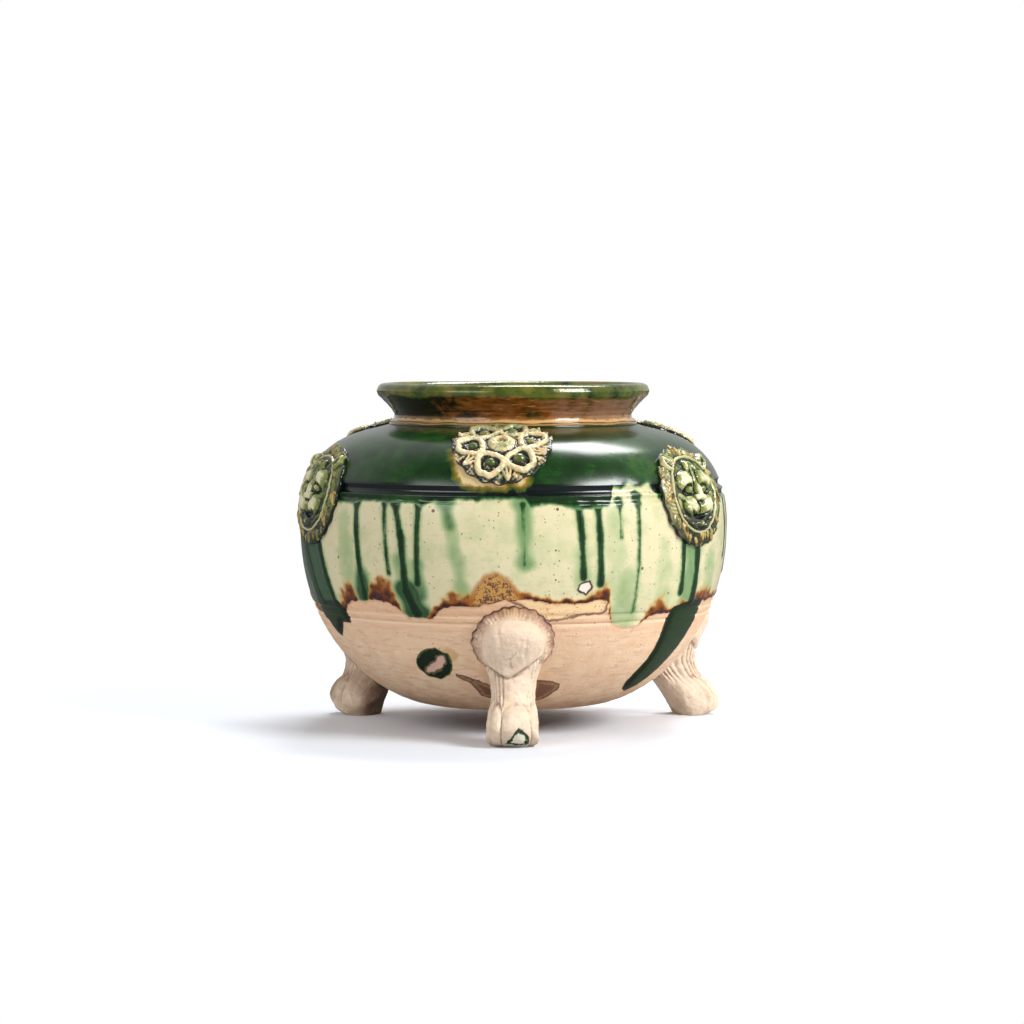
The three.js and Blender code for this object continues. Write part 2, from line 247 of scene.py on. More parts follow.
wheel, given = new_tree("thrown_on_the_wheel", {
    "Profile": "Geometry", "Points": "Int", "Turns": "Int", "Material": "Material"})
columns = add(wheel, "ShaderNodeMath", {0: given["Turns"], 1: 1.0}, operation="ADD")
grid = add(wheel, "GeometryNodeMeshGrid", {"Vertices X": columns, "Vertices Y": given["Points"]})
index = add(wheel, "GeometryNodeInputIndex")
row = add(wheel, "ShaderNodeMath", {0: index, 1: given["Points"]}, operation="MODULO")
share = add(wheel, "ShaderNodeMath", {0: index, 1: given["Points"]}, operation="DIVIDE")
column = add(wheel, "ShaderNodeMath", {0: share}, operation="FLOOR")
turn = add(wheel, "ShaderNodeMath", {0: column, 1: given["Turns"]}, operation="DIVIDE")
angle = add(wheel, "ShaderNodeMath", {0: turn, 1: 2 * math.pi}, operation="MULTIPLY")
profile_point = add(wheel, "GeometryNodeSampleIndex", {
    "Geometry": given["Profile"], "Value": add(wheel, "GeometryNodeInputPosition"), "Index": row,
}, data_type="FLOAT_VECTOR")
spun = add(wheel, "ShaderNodeVectorRotate", {"Vector": profile_point, "Angle": angle},
           rotation_type="Z_AXIS")
wall = add(wheel, "GeometryNodeSetPosition", {"Geometry": grid, "Position": spun})
wall = add(wheel, "GeometryNodeStoreNamedAttribute", {"Geometry": wall, "Name": "row", "Value": row},
           data_type="FLOAT", domain="POINT")
wall = add(wheel, "GeometryNodeMergeByDistance", {"Geometry": wall, "Distance": 0.001 * MM})
close_tree(wheel, wall, given["Material"])


def thrown(name, profile, turns, material):
    """A wall turned from a profile of (radius, height); returns it with each point's row and place."""
    points = [(r, 0.0, z) for r, z in profile]
    piece = made_by(wheel, name, points, material, Points=len(points), Turns=turns)
    count = len(piece.data.vertices)
    places, rows = np.empty(count * 3), np.empty(count)
    piece.data.vertices.foreach_get("co", places)
    piece.data.attributes["row"].data.foreach_get("value", rows)
    places = places.reshape(-1, 3) / MM
    azimuth = np.degrees(np.arctan2(places[:, 0], -places[:, 1]))
    return piece, rows.round().astype(int), azimuth, places


# Lower edge of the green on the shoulder: azimuth, distance along the wall
GREEN_EDGE = [
    (-180, 119.5), (-165, 118), (-150, 121), (-135, 118.5), (-120, 120.5), (-105, 119), (-90, 120),
    (-75, 118.5), (-60, 118.5), (-46, 118.5), (-43, 120), (-26, 119.5), (-24, 118), (-21, 120.5),
    (-18, 119.5), (-15, 121.5), (-10.5, 121.5), (-9.5, 120.5), (-8, 121.5), (3, 121.5), (4.5, 118.5),
    (10, 119.5), (15, 117.5), (20, 117), (23, 118), (26, 118.5), (27.5, 127), (30, 125.5), (32, 128),
    (36, 126.5), (39, 128), (42, 121), (50, 119), (70, 120), (85, 118.5), (100, 121), (115, 118.5),
    (130, 120.5), (145, 118), (160, 121), (180, 119.5),
]
# Glaze runs: azimuth at the top and bottom, distance along the wall at the top and bottom, half
# width in mm, how dark the green is
GREEN_RUNS = [
    (-45.2, -43.6, 120, 77, 1.35, 1.0), (-35.5, -34.1, 120, 88, 0.9, 0.9),
    (-32.2, -29.8, 120, 104, 1.25, 1.0), (-29.8, -29.2, 104, 80, 1.45, 1.0),
    (-29.2, -27.0, 80, 71, 2.2, 0.9), (-25.0, -25.6, 120, 84, 1.05, 1.0),
    (2.5, 2.9, 119, 93, 1.2, 0.35), (17.0, 17.8, 119, 104, 1.35, 0.9), (17.8, 18.5, 104, 87, 1.2, 0.95),
    (22.2, 23.4, 120, 84, 1.25, 1.0), (28.5, 28.8, 120, 104, 1.2, 0.45),
    (34.2, 34.6, 122, 70, 1.6, 0.35), (50.4, 51.7, 102, 78, 1.5, 0.8), (57.0, 58.6, 101, 73, 2.1, 0.9),
    (-62.8, -57.5, 101, 66, 2.2, 1.0), (-74.0, -66.0, 101, 58, 4.5, 0.9),
    (79.0, 78.4, 122, 92, 1.3, 0.8), (88.5, 88.0, 122, 84, 1.3, 0.95),
    (101.0, 100.2, 122, 78, 1.5, 0.8), (124.0, 124.5, 122, 90, 1.2, 0.95),
    (131.5, 131.0, 122, 80, 1.4, 1.0), (149.0, 148.0, 122, 96, 1.1, 0.6),
    (158.0, 158.5, 122, 84, 1.3, 0.9), (169.0, 169.4, 101, 76, 1.8, 0.8),
    (176.0, 175.4, 101, 84, 1.4, 0.7), (-158.0, -157.4, 122, 88, 1.2, 0.9),
    (-146.0, -146.6, 122, 76, 1.5, 1.0), (-131.0, -131.5, 122, 92, 1.1, 0.6),
    (-118.0, -118.4, 122, 82, 1.6, 0.95), (-104.0, -103.0, 122, 94, 1.1, 0.8),
    (-93.0, -92.0, 122, 80, 1.4, 0.95),
]
# Thinned green that spread round and between the runs: the same numbers, with its strength last
GREEN_WASHES = [
    (-44.0, -44.0, 88, 77, 3.8, 1.1), (-29.2, -26.8, 81, 70, 5.6, 1.35),
    (-30.3, -29.0, 94, 82, 3.2, 0.6), (-50.0, -48.5, 110, 86, 5.0, 0.35),
    (31.0, 31.0, 86, 68, 6.5, 0.45), (-25.2, -25.8, 92, 78, 2.2, 0.9),
    (-17.6, -16.2, 119, 110, 1.7, 0.9), (-16.2, -13.2, 110, 82, 2.4, 0.5),
    (2.6, 2.9, 118, 94, 2.8, 0.7), (18.0, 18.5, 96, 84, 3.0, 0.45), (27.0, 28.0, 112, 88, 5.0, 0.3),
    (54.5, 56.0, 98, 74, 7.0, 0.7), (-68.0, -63.0, 98, 66, 11.0, 1.5),
    (-84.0, -78.0, 116, 62, 16.0, 1.4), (43.0, 44.0, 100, 74, 4.0, 0.25),
    (66.0, 68.0, 92, 76, 6.0, 0.4), (88.0, 89.0, 92, 74, 5.0, 0.5), (131.0, 131.0, 90, 72, 5.0, 0.6),
    (172.0, 174.0, 92, 72, 7.0, 0.5), (-146.0, -146.0, 88, 72, 5.0, 0.6),
    (-93.0, -93.0, 90, 74, 5.0, 0.5), (-118.0, -118.0, 92, 76, 5.0, 0.4),
]
# How far in mm iron bled amber up into the glaze from its lower edge: azimuth, reach
AMBER_REACH = [
    (-180, 3), (-165, 8), (-158, 4), (-140, 9), (-130, 4), (-112, 7), (-100, 3), (-84, 6), (-70, 3),
    (-62, 4), (-53, 13), (-49, 14), (-46.5, 0.6), (-42.5, 0.6), (-40.5, 13), (-37, 21), (-34, 17),
    (-32.5, 6), (-31, 0.3), (-24.5, 0.3), (-22.5, 5), (-18, 8), (-11, 9), (-8, 9), (-2, 7), (3, 4),
    (10, 3), (18, 3), (23, 6), (25, 12), (27, 6), (29, 0.4), (38, 0.6), (40, 8), (44, 10), (48, 4),
    (58, 5), (64, 12), (72, 5), (84, 3), (95, 8), (104, 3), (115, 7), (125, 2), (140, 5), (150, 9),
    (160, 4), (170, 7), (180, 3),
]
# Lower edge of the cream glaze: azimuth, distance along the wall
GLAZE_EDGE = [
    (-180, 71), (-168, 69), (-160, 73), (-150, 68), (-140, 72), (-128, 75), (-116, 70), (-104, 73),
    (-94, 69), (-84, 72), (-76, 67), (-68, 63), (-60, 63), (-56, 68), (-50, 74.5), (-45, 74.5),
    (-41, 76), (-36, 75), (-33.2, 73), (-30.6, 68.5), (-22.6, 67.8), (-19.7, 73), (-15.5, 74.5),
    (-11.5, 74), (-2, 77.5), (4.5, 78), (8.5, 76.5), (12.5, 75.5), (18, 75.5), (23.5, 77), (26, 77),
    (27, 70), (28.6, 65), (34, 63), (38.5, 64), (41, 67.5), (43, 68.5), (49, 69), (58, 71.5), (73, 73),
    (86, 73), (96, 69), (108, 74), (118, 70), (128, 68), (138, 74), (150, 71), (160, 75), (170, 70),
    (180, 71),
]
# Tongues of dark glaze on the bare clay: closed outlines in azimuth and distance along the wall
DARK_TONGUES = [
    [(50, 71), (49, 63), (49.5, 57), (49.3, 44), (48, 36), (47.5, 29), (50, 23.5), (54, 21), (57, 23),
     (60, 29), (62.5, 41), (64.5, 52), (65.5, 62), (66, 73), (58, 73)],
    [(-70, 71), (-68.5, 62), (-66.5, 57), (-64, 55.5), (-60.5, 60), (-58.5, 63.5), (-54, 63.5), (-54.5, 69),
     (-57, 73)],
    [(-160, 73), (-157.5, 66), (-156, 58), (-154.8, 50), (-153.4, 44.5), (-151.2, 42.5), (-149.6, 45),
     (-149, 52), (-148.4, 60), (-147, 67), (-145, 72)],
    [(106, 73), (108, 66), (111, 58), (115, 62), (116, 72)],
]
# What else lies in closed outlines on the wall, with how far in mm their edges waver
PATCHES = {
    "spill": (0.9, [[(-19, 146), (-18.2, 141), (-16.2, 136), (-15.6, 131), (-13.3, 127.6), (-11, 126.4),
                     (-2, 126.4), (-0.5, 128.4), (2.0, 126.6), (3.8, 128), (4.4, 131), (2, 134.5),
                     (-4, 134), (-6, 142)]]),
    "bare_tongue": (0.3, [[(-3, 79), (2, 75), (5.5, 71), (9.5, 67.5), (13.5, 68), (19, 70), (25.5, 70.5),
                           (26.5, 77), (22, 80), (10, 80)]]),
    "bloom": (0.6, [[(-11, 74), (-9.5, 82), (-7, 87), (-4.5, 88.5), (-2, 86.5), (0, 82), (2, 77),
                     (-4, 74)]]),
    "scar": (0.5, [[(-32, 46), (-28, 51), (-24, 53), (-20.5, 50), (-19.5, 44.5), (-21.5, 38), (-26, 34),
                    (-30.5, 36), (-33, 41)]]),
    "scar_core": (0.5, [[(-30.5, 38.5), (-28.5, 42.5), (-25.5, 45), (-24, 48.5), (-21.5, 49),
                         (-21.8, 44.5), (-24.5, 41), (-27.5, 37.8)]]),
    "scar_smear": (0.4, [[(-23, 52), (-19.5, 54), (-16.5, 50), (-18.5, 45), (-21, 48)]]),
    "chip": (0.3, [[(17, 81.5), (18, 84.5), (20.3, 85.5), (21, 82.5), (19.5, 79.5)]]),
    "smear": (0.5, [
        [(-19.5, 38), (-15, 35.5), (-10, 32), (-6, 28), (-6, 20), (-9.5, 19.5), (-12.5, 21.5),
         (-14.5, 29), (-16, 32.5), (-19.5, 36)],
        [(7, 34.5), (13, 33), (17.3, 31), (17, 26), (13.5, 19.5), (10.5, 16.5), (7, 18)],
        [(150, 35.5), (154, 36.8), (159, 34.5), (163.5, 31), (164, 28.5), (160, 27.4), (156, 29.5),
         (152, 31.5)],
        [(-85, 43), (-81, 43.6), (-77.5, 40), (-75.8, 35.5), (-78.5, 34.2), (-81.5, 37), (-84.5, 40)],
    ]),
}


def depth_in_run(azimuth, along, top_azimuth, low_azimuth, top, low, half):
    """Distance in mm inside the skin of a run, negative outside it; its top is flared."""
    reach = np.radians(1.0) * wall_point(along)[0]
    x = wrapped(azimuth - top_azimuth) * reach
    y = along - top
    dx, dy = (low_azimuth - top_azimuth) * reach, low - top
    share = np.clip((x * dx + y * dy) / (dx * dx + dy * dy), 0.0, 1.0)
    flare = 1.0 + 0.9 * smooth(115, 120, along) + 0.25 * smooth(low + 6, low, along)
    bulge = 1.1 + 0.1 * np.sin(0.4 * along + 3 * top_azimuth)
    return half * flare * bulge - np.hypot(x - share * dx, y - share * dy)


def depth_inside(x, y, corners, reach=1.0):
    """Distance in mm inside a closed outline, negative outside it; reach stretches its corners in x."""
    shortest = np.full(x.shape, 50.0)
    inside = np.zeros(x.shape, bool)
    for (a1, y1), (a2, y2) in zip(corners, np.roll(corners, -1, axis=0)):
        x1, x2 = a1 * reach, a2 * reach
        share = ((x - x1) * (x2 - x1) + (y - y1) * (y2 - y1)) / ((x2 - x1) ** 2 + (y2 - y1) ** 2)
        share = np.clip(share, 0.0, 1.0)
        shortest = np.minimum(shortest, np.hypot(x - x1 - share * (x2 - x1), y - y1 - share * (y2 - y1)))
        if y1 != y2:
            crossing = x1 + (y - y1) / (y2 - y1) * (x2 - x1)
            inside ^= ((y1 > y) != (y2 > y)) & (x < crossing)
    return np.where(inside, shortest, -shortest)


def depth_in_outline(azimuth, along, corners):
    """Distance in mm inside a closed outline drawn on the wall in degrees and mm."""
    depth = np.full(along.shape, -20.0)
    middle = np.mean(corners, axis=0)
    turn, y = wrapped(azimuth - middle[0]), along - middle[1]
    near = (np.abs(turn) < 40) & (np.abs(y) < 50)
    reach = np.radians(1.0) * wall_point(along[near])[0]
    depth[near] = depth_inside(turn[near] * reach, y[near], np.array(corners, float) - middle, reach)
    return depth


def deepest(azimuth, along, outlines):
    return np.max([depth_in_outline(azimuth, along, corners) for corners in outlines], axis=0)


def glaze_fields(azimuth, along, points):
    """What lies where on the wall, as distances in mm inside each edge and shares from 0 to 1."""
    wander = mottle(points, 9.0, 3.1)
    waver = mottle(points, 3.0, 7.7)
    edge, green_edge, reach = (np.interp(wrapped(azimuth), *np.array(table, float).T)
                               for table in (GLAZE_EDGE, GREEN_EDGE, AMBER_REACH))
    fields = {
        "along": along,
        "glaze": along - edge + 0.8 * waver,
        "tongue": deepest(azimuth, along, DARK_TONGUES) + 0.35 * wander,
        "shoulder": along - green_edge + 0.7 * waver + 0.5 * wander,
        "deep": smooth(*POOL_LOW, along) * smooth(*POOL_TOP, along),
        # Painted highlight: a pale band just under the middle of the first two belly lines.
        "belly_line_highlight": sum(smooth(0.9, 0.2, np.abs(along - at + 0.8)) for at, _, _ in BELLY_LINES[:2]),
    }
    for key, (ragged, outlines) in PATCHES.items():
        fields[key] = deepest(azimuth, along, outlines) + ragged * waver
    run, tone, wash = np.full(along.shape, FAR_OUT), np.zeros(along.shape), np.zeros(along.shape)
    for start, end, top, low, half, dark in GREEN_RUNS:
        depth = depth_in_run(azimuth, along, start, end, top, low, half)
        fading = 1 - 0.6 * smooth(top, low, along) * (dark < 0.7)
        tone = np.where(depth > run, dark * fading, tone)
        run = np.maximum(run, depth)
        wash = np.maximum(wash, 0.3 * dark * smooth(-2.8, 0.3, depth))
    for start, end, top, low, half, strength in GREEN_WASHES:
        depth = depth_in_run(azimuth, along, start, end, top, low, half) + 1.2 * wander
        wash = np.maximum(wash, strength * smooth(-3.0, 0.8 * half, depth))
    fields["run"], fields["tone"] = np.minimum(run, 1.3), tone
    fields["wash"] = wash * smooth(-0.5, 1.0, fields["glaze"])
    reach = reach * (1 + 0.5 * wander)
    height = np.where(along < 100, fields["glaze"] / np.maximum(reach, 0.3), 9.0)
    fields["amber"] = smooth(1.15, -0.1, height + 0.25 * waver) * smooth(0.3, 2.0, reach)
    fields["amber"] *= smooth(-1.0, -0.4, fields["glaze"])
    return fields


def glaze_thickness(fields):
    """Height in mm of the glaze over the clay: thick in runs, tongues and at its own edge."""
    thick = 0.12 + 0.22 * smooth(0.0, 2.0, fields["shoulder"])
    thick = np.maximum(thick, 0.1 + 0.5 * fields["tone"] * smooth(-0.4, 1.3, fields["run"]))
    thick += 0.25 * np.exp(-((fields["glaze"] - 1.1) / 1.0) ** 2)
    thick *= smooth(-0.2, 0.4, fields["glaze"])
    thick = np.maximum(thick, 0.75 * smooth(0.0, 2.6, fields["tongue"]))
    thick = np.maximum(thick, 0.45 * smooth(-0.3, 0.7, fields["scar"]))
    thick = np.where(fields["scar_core"] > 0, 0.1, thick)
    return thick - 0.5 * smooth(-0.1, 0.5, fields["chip"])


def groove_depth(along):
    """Depth in mm of the turned lines under the plain outline."""
    return sum(deep * np.clip(1 - (2 * (along - centre) / width) ** 2, 0.0, 1.0)
               for centre, width, deep in (LOWER_GROOVE, UPPER_GROOVE, *BELLY_LINES))


def new_material(name):
    material = bpy.data.materials.new(name)
    material.use_nodes = True
    return material, material.node_tree, material.node_tree.nodes["Principled BSDF"]


def grains(tree, **sizes):
    """Noise from -0.5 to 0.5 in object space, one for each name, with features of that size in mm;
    a streak is drawn out sideways by the turning of the wheel."""
    where = add(tree, "ShaderNodeTexCoord").outputs["Object"]
    made = {}
    for number, (key, size) in enumerate(sizes.items()):
        flat = (0.15, 0.15, 1.0) if key == "streak" else (1.0, 1.0, 1.0)
        moved = add(tree, "ShaderNodeVectorMath", {0: where, 1: flat, 2: (0.3 * number,) * 3},
                    operation="MULTIPLY_ADD")
        texture = add(tree, "ShaderNodeTexNoise", {"Vector": moved, "Scale": 1 / (size * MM), "Detail": 3.0})
        made[key] = add(tree, "ShaderNodeMath", {0: texture, 1: 0.5}, operation="SUBTRACT")
    return made


def specks(tree, spacing, radius, share, seed):
    """1 inside small round specks in object space and 0 outside; share is how many cells hold one."""
    where = add(tree, "ShaderNodeTexCoord").outputs["Object"]
    moved = add(tree, "ShaderNodeVectorMath", {0: where, 1: (seed,) * 3}, operation="ADD")
    cells = add(tree, "ShaderNodeTexVoronoi", {"Vector": moved, "Scale": 1 / (spacing * MM)})
    lot = add(tree, "ShaderNodeSeparateColor", {"Color": cells.outputs["Color"]}).outputs[0]
    size = add(tree, "ShaderNodeMapRange", {"Value": lot, "From Min": 1 - share, "From Max": 1.0,
                                            "To Min": 0.0, "To Max": radius / spacing})
    inner = add(tree, "ShaderNodeMath", {0: size, 1: 0.5}, operation="MULTIPLY")
    return add(tree, "ShaderNodeMapRange",
               {"Value": cells.outputs["Distance"], "From Min": size, "From Max": inner})


def pattern(tree, wave, key):
    """The noise or the field of the mesh that goes by a name; a node stands for itself."""
    if isinstance(key, str) and key not in wave:
        wave[key] = add(tree, "ShaderNodeAttribute", attribute_name=key).outputs["Fac"]
    return wave[key] if isinstance(key, str) else key


def mottled(tree, grain, *stops):
    """A colour that wanders between stops as the noise does."""
    share = add(tree, "ShaderNodeMath", {0: grain, 1: 0.5})
    return add(tree, "ShaderNodeValToRGB", {"Fac": share}, stops=stops)


def layered(tree, wave, base, layers):
    """Lays colours over a base: each has a pattern, the noise that frays it and its amount, the
    values at which the layer starts and is full, its strength and its colour."""
    for key, grain, amount, start, full, strength, colour in layers:
        frayed = add(tree, "ShaderNodeMath", {
            0: pattern(tree, wave, grain), 1: amount, 2: pattern(tree, wave, key)}, operation="MULTIPLY_ADD")
        cover = add(tree, "ShaderNodeMapRange", {
            "Value": frayed, "From Min": start, "From Max": full, "To Max": strength,
        }, interpolation_type="SMOOTHSTEP")
        base = add(tree, "ShaderNodeMix", {"Factor": cover, "A": base, "B": colour}, data_type="RGBA")
    return base


# Lead glaze fired on buff earthenware: cream where only the clear glaze lies, transparent green
# that turns near black where it pools, glossy as glass. The bare clay is matt and finely pitted,
# with iron specks and the rings of the wheel.
glaze_finish, tree, shader = new_material("three_colour_lead_glaze_on_buff_earthenware")
wave = grains(tree, broad=26.0, middle=7.0, small=2.2, fine=0.7, streak=1.3)
field = {key: pattern(tree, wave, key) for key in ("glaze", "run", "tone", "amber", "tongue", "scar")}
clay = mottled(tree, wave["middle"], (0.25, "#e6bd97"), (0.5, "#efcdab"), (0.8, "#f6dcbc"))
clay = layered(tree, wave, clay, [
    ("along", "middle", 16, 52, 74, 0.6, "#dfae88"),
    # The clay turns darker brown towards the base.
    ("along", "middle", 14, 26, 3, 0.7, "#a67c60"),
    ("streak", "middle", 0.4, 0.0, 0.25, 0.45, "#c99a76"),
    ("small", "middle", 0.7, 0.14, 0.3, 0.3, "#c08e6c"),
    # Painted highlight: pale cream along the first two belly lines.
    ("belly_line_highlight", "streak", 1.2, 0.3, 1.1, 0.45, "#f6e2c8"),
    (specks(tree, 2.6, 0.5, 0.6, 0.5), "fine", 0.2, 0.3, 0.8, 0.7, "#7d4d33"),
    ("smear", "small", 1.6, -0.4, 0.0, 0.85, "#4e2f20"),
    ("smear", "small", 5.0, 0.2, 1.6, 0.8, "#b5886a"),
    ("smear", "fine", 5.0, 1.6, 2.8, 0.6, "#5d3c2c"),
])
crust = layered(tree, wave, "#c6934a", [
    ("middle", "small", 0.5, 0.05, 0.3, 0.6, "#dcae68"),
    ("fine", "small", 0.9, -0.05, 0.12, 0.9, "#4f3034"),
])
tan = layered(tree, wave, "#f3cf9f", [
    ("middle", "small", 0.5, 0.05, 0.3, 0.5, "#d79a5c"),
    ("fine", "small", 1.1, 0.1, 0.3, 0.7, "#7d4a38"),
])
cream = layered(tree, wave, "#dbd1a9", [
    ("broad", "middle", 0.9, -0.05, 0.3, 0.6, "#b9c08c"),
    ("streak", "middle", 0.5, 0.05, 0.3, 0.4, "#bfb888"),
    ("middle", "small", 0.5, 0.08, 0.3, 0.45, "#dcd2b2"),
    ("small", "fine", 0.9, 0.1, 0.3, 0.3, "#b7ac7c"),
    (specks(tree, 2.0, 0.6, 0.8, 0.1), "fine", 0.4, 0.3, 0.9, 0.7, "#6d5630"),
    (specks(tree, 6.0, 1.3, 0.5, 0.7), "fine", 0.4, 0.3, 0.8, 0.85, "#44341f"),
])
body = add(tree, "ShaderNodeMath", {0: field["tone"], 1: 1.3, 2: add(
    tree, "ShaderNodeMath", {0: field["run"], 1: 1.3}, operation="SUBTRACT")}, operation="MULTIPLY_ADD")
washed = layered(tree, wave, cream, [
    (body, "small", 1.0, -1.4, -0.2, 0.5, "#9cb57f"),
    ("wash", "middle", 0.35, 0.02, 0.4, 0.75, "#a3b581"),
    ("wash", "middle", 0.4, 0.3, 0.75, 0.85, "#6c915c"),
    ("wash", "middle", 0.4, 0.65, 1.1, 0.9, "#1e4527"),
])
amber_ramp = add(tree, "ShaderNodeValToRGB", {
    "Fac": add(tree, "ShaderNodeMath", {0: wave["small"], 1: 0.6, 2: field["amber"]},
               operation="MULTIPLY_ADD"),
}, stops=((0.1, "#dcbf6c"), (0.4, "#bd8424"), (0.6, "#985512"), (0.85, "#5f2f14"), (1.0, "#3a2022")))
glazed = layered(tree, wave, washed, [
    ("amber", "small", 0.35, 0.0, 0.7, 1.0, amber_ramp),
    ("bloom", "small", 2.4, -2.6, -0.4, 0.85, "#b06c1c"),
    ("bloom", "small", 2.4, -0.6, 0.9, 0.95, crust),
])
runny = layered(tree, wave, glazed, [
    (body, "small", 1.0, -0.8, 0.2, 0.7, "#3d6c36"),
    (body, "small", 0.9, -0.3, 0.5, 0.95, "#133b18"),
    (body, "small", 0.7, 0.4, 1.2, 0.85, "#09220d"),
])
clouds = add(tree, "ShaderNodeMath", {0: wave["middle"], 1: 0.9, 2: wave["broad"]}, operation="MULTIPLY_ADD")
green = mottled(tree, clouds, (0.2, "#0b240d"), (0.45, "#12340f"), (0.65, "#1e4716"), (0.9, "#3b5c1c"))
pooled = layered(tree, wave, green, [
    ("streak", "middle", 0.5, 0.02, 0.3, 0.5, "#08190a"),
    (specks(tree, 4.0, 0.8, 0.25, 0.3), "fine", 0.2, 0.3, 0.8, 0.5, "#0e1c10"),
    ("deep", "small", 0.5, 0.1, 0.7, 0.95, "#070f12"),
])
covered = layered(tree, wave, runny, [
    ("shoulder", "small", 1.4, -1.3, -0.2, 0.8, "#6d9460"),
    ("shoulder", "small", 1.2, -0.5, 0.3, 0.95, "#27582b"),
    ("shoulder", "small", 1.2, 0.1, 1.1, 1.0, pooled),
    ("spill", "small", 2.4, -2.4, -0.6, 0.8, "#5c6a1c"),
    ("spill", "small", 2.4, -1.0, 0.5, 0.85, "#9b7020"),
    ("spill", "small", 3.5, 0.0, 1.9, 0.95, "#dfc78e"),
])
whole = layered(tree, wave, clay, [
    ("bare_tongue", "small", 2.4, -0.9, -0.2, 0.8, "#5d3a35"),
    ("bare_tongue", "small", 2.0, 0.0, 1.2, 0.95, tan),
    ("glaze", "small", 1.5, -1.6, -0.3, 0.4, "#bd8f66"),
    ("amber", "small", 0.7, 0.75, 1.0, 0.95, "#42251f"),
    ("glaze", "small", 1.2, -0.2, 0.3, 1.0, covered),
    ("tongue", "small", 0.6, -0.8, -0.4, 0.95, "#15170c"),
    ("tongue", "small", 0.8, 0.0, 0.8, 1.0, "#16260f"),
    ("tongue", "middle", 6.0, 1.0, 5.0, 0.7, "#243d1c"),
    ("scar_smear", "middle", 2.5, -0.9, 1.2, 0.6, "#c9a055"),
    ("scar", "middle", 1.8, -0.6, -0.1, 1.0, "#4d5c2e"),
    ("scar", "small", 2.0, 0.0, 0.6, 1.0, "#132413"),
    ("scar_core", "small", 3.0, -1.2, -0.3, 0.9, "#6c6543"),
    ("scar_core", "small", 2.4, 0.0, 0.6, 1.0, "#dcb3a0"),
    ("chip", "small", 1.2, -0.9, -0.2, 0.95, "#2c2016"),
    ("chip", "small", 1.0, 0.1, 0.6, 1.0, "#f6dccf"),
])
blots = add(tree, "ShaderNodeMath", {0: field["tongue"], 1: field["scar"]}, operation="MAXIMUM")
skin_of_glass = add(tree, "ShaderNodeMath", {0: field["glaze"], 1: blots}, operation="MAXIMUM")
gloss = add(tree, "ShaderNodeMapRange", {"Value": skin_of_glass, "From Min": -0.2, "From Max": 0.4})
rough = add(tree, "ShaderNodeMapRange", {"Value": gloss, "To Min": 0.75, "To Max": 0.21})
dull = add(tree, "ShaderNodeMapRange", {"Value": field["tongue"], "From Min": -0.3, "From Max": 0.3,
                                        "To Min": 0.5, "To Max": 0.35})
shine = add(tree, "ShaderNodeMapRange", {"Value": gloss, "To Min": 0.1, "To Max": dull})
pitted = add(tree, "ShaderNodeMath", {0: wave["fine"], 1: 1.6, 2: wave["small"]}, operation="MULTIPLY_ADD")
wavy = add(tree, "ShaderNodeMath", {0: wave["middle"], 1: 0.4}, operation="MULTIPLY")
relief = add(tree, "ShaderNodeMix", {"Factor": gloss, "A": pitted, "B": wavy})
bumps = add(tree, "ShaderNodeBump", {"Height": relief, "Distance": 0.22 * MM, "Strength": 0.7})
connect(tree, shader, {"Base Color": whole, "Roughness": rough, "Specular IOR Level": shine,
                       "IOR": LEAD_GLASS_IOR, "Normal": bumps})

# Rows of points along the wall, closest at the glaze's lower edge and in the grooves
wall_rows = np.concatenate([
    np.arange(0, 58, 2), np.arange(58, 82, 0.7), np.arange(82, 118, 1), np.arange(118, 128.4, 0.33),
    np.linspace(129, OUTLINE_LENGTH, 37),
])
inner_rows = np.linspace(OUTLINE_LENGTH, 0, 20)
underside = [(radius, BASE_Z) for radius in (0, 20, 36)]
profile = np.vstack([
    underside,
    np.column_stack(wall_point(wall_rows)),
    [(THROAT_RADIUS, SEAT_Z), (THROAT_RADIUS, SEAT_Z - WALL)],
    np.column_stack(off_wall(inner_rows, -WALL)),
    [(0, BASE_Z + WALL)],
])
bowl, bowl_row, azimuth, places = thrown("glazed_bowl", profile, BOWL_TURNS, glaze_finish)
first, last = len(underside), len(underside) + len(wall_rows)
outer = (bowl_row >= first) & (bowl_row < last)
along = np.where(outer, wall_rows[np.clip(bowl_row - first, 0, len(wall_rows) - 1)], INSIDE_ALONG)
along[bowl_row < first] = 0.0
fields = glaze_fields(azimuth, along, on_circle(*wall_point(along), azimuth))
throwing = 0.06 * np.sin(along * 2 * math.pi / 3.1 + 2 * mottle(places, 40.0))
throwing *= smooth(0.5, -0.5, fields["glaze"])
warp = 0.2 * mottle(places, 55.0, 1.3)
rise = glaze_thickness(fields) + throwing + warp - groove_depth(along)
places[outer] = on_circle(*off_wall(along, rise), azimuth)[outer]
bowl.data.vertices.foreach_set("co", (places * MM).ravel())
for key in fields:
    if key not in ("glaze", "along", "amber"):
        fields[key] = np.where(bowl_row >= last, FAR_OUT, fields[key])
keep_fields(bowl, fields)
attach(bowl, "root")
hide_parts("bowl_body")

# Neck and rolled lip. Thrown as a short ring with a stepped foot and luted on the shoulder.
# Amber iron glaze covers the neck, and olive-green glaze the lip.

RIM_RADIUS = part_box("neck_rim")[1].x / MM
RIM_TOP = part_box("neck_rim")[1].z / MM
WAIST_RADIUS = 54.2
WAIST_RISE = 4.8
LIP_ROLL = 3.4
FOOT = SEAT_Z + 0.3
NECK_TURNS = 360


def curve3(a, b, c, count):
    t = np.linspace(0, 1, count)[:, None]
    a, b, c = (np.array(p, float) for p in (a, b, c))
    return (1 - t) ** 2 * a + 2 * (1 - t) * t * b + t * t * c
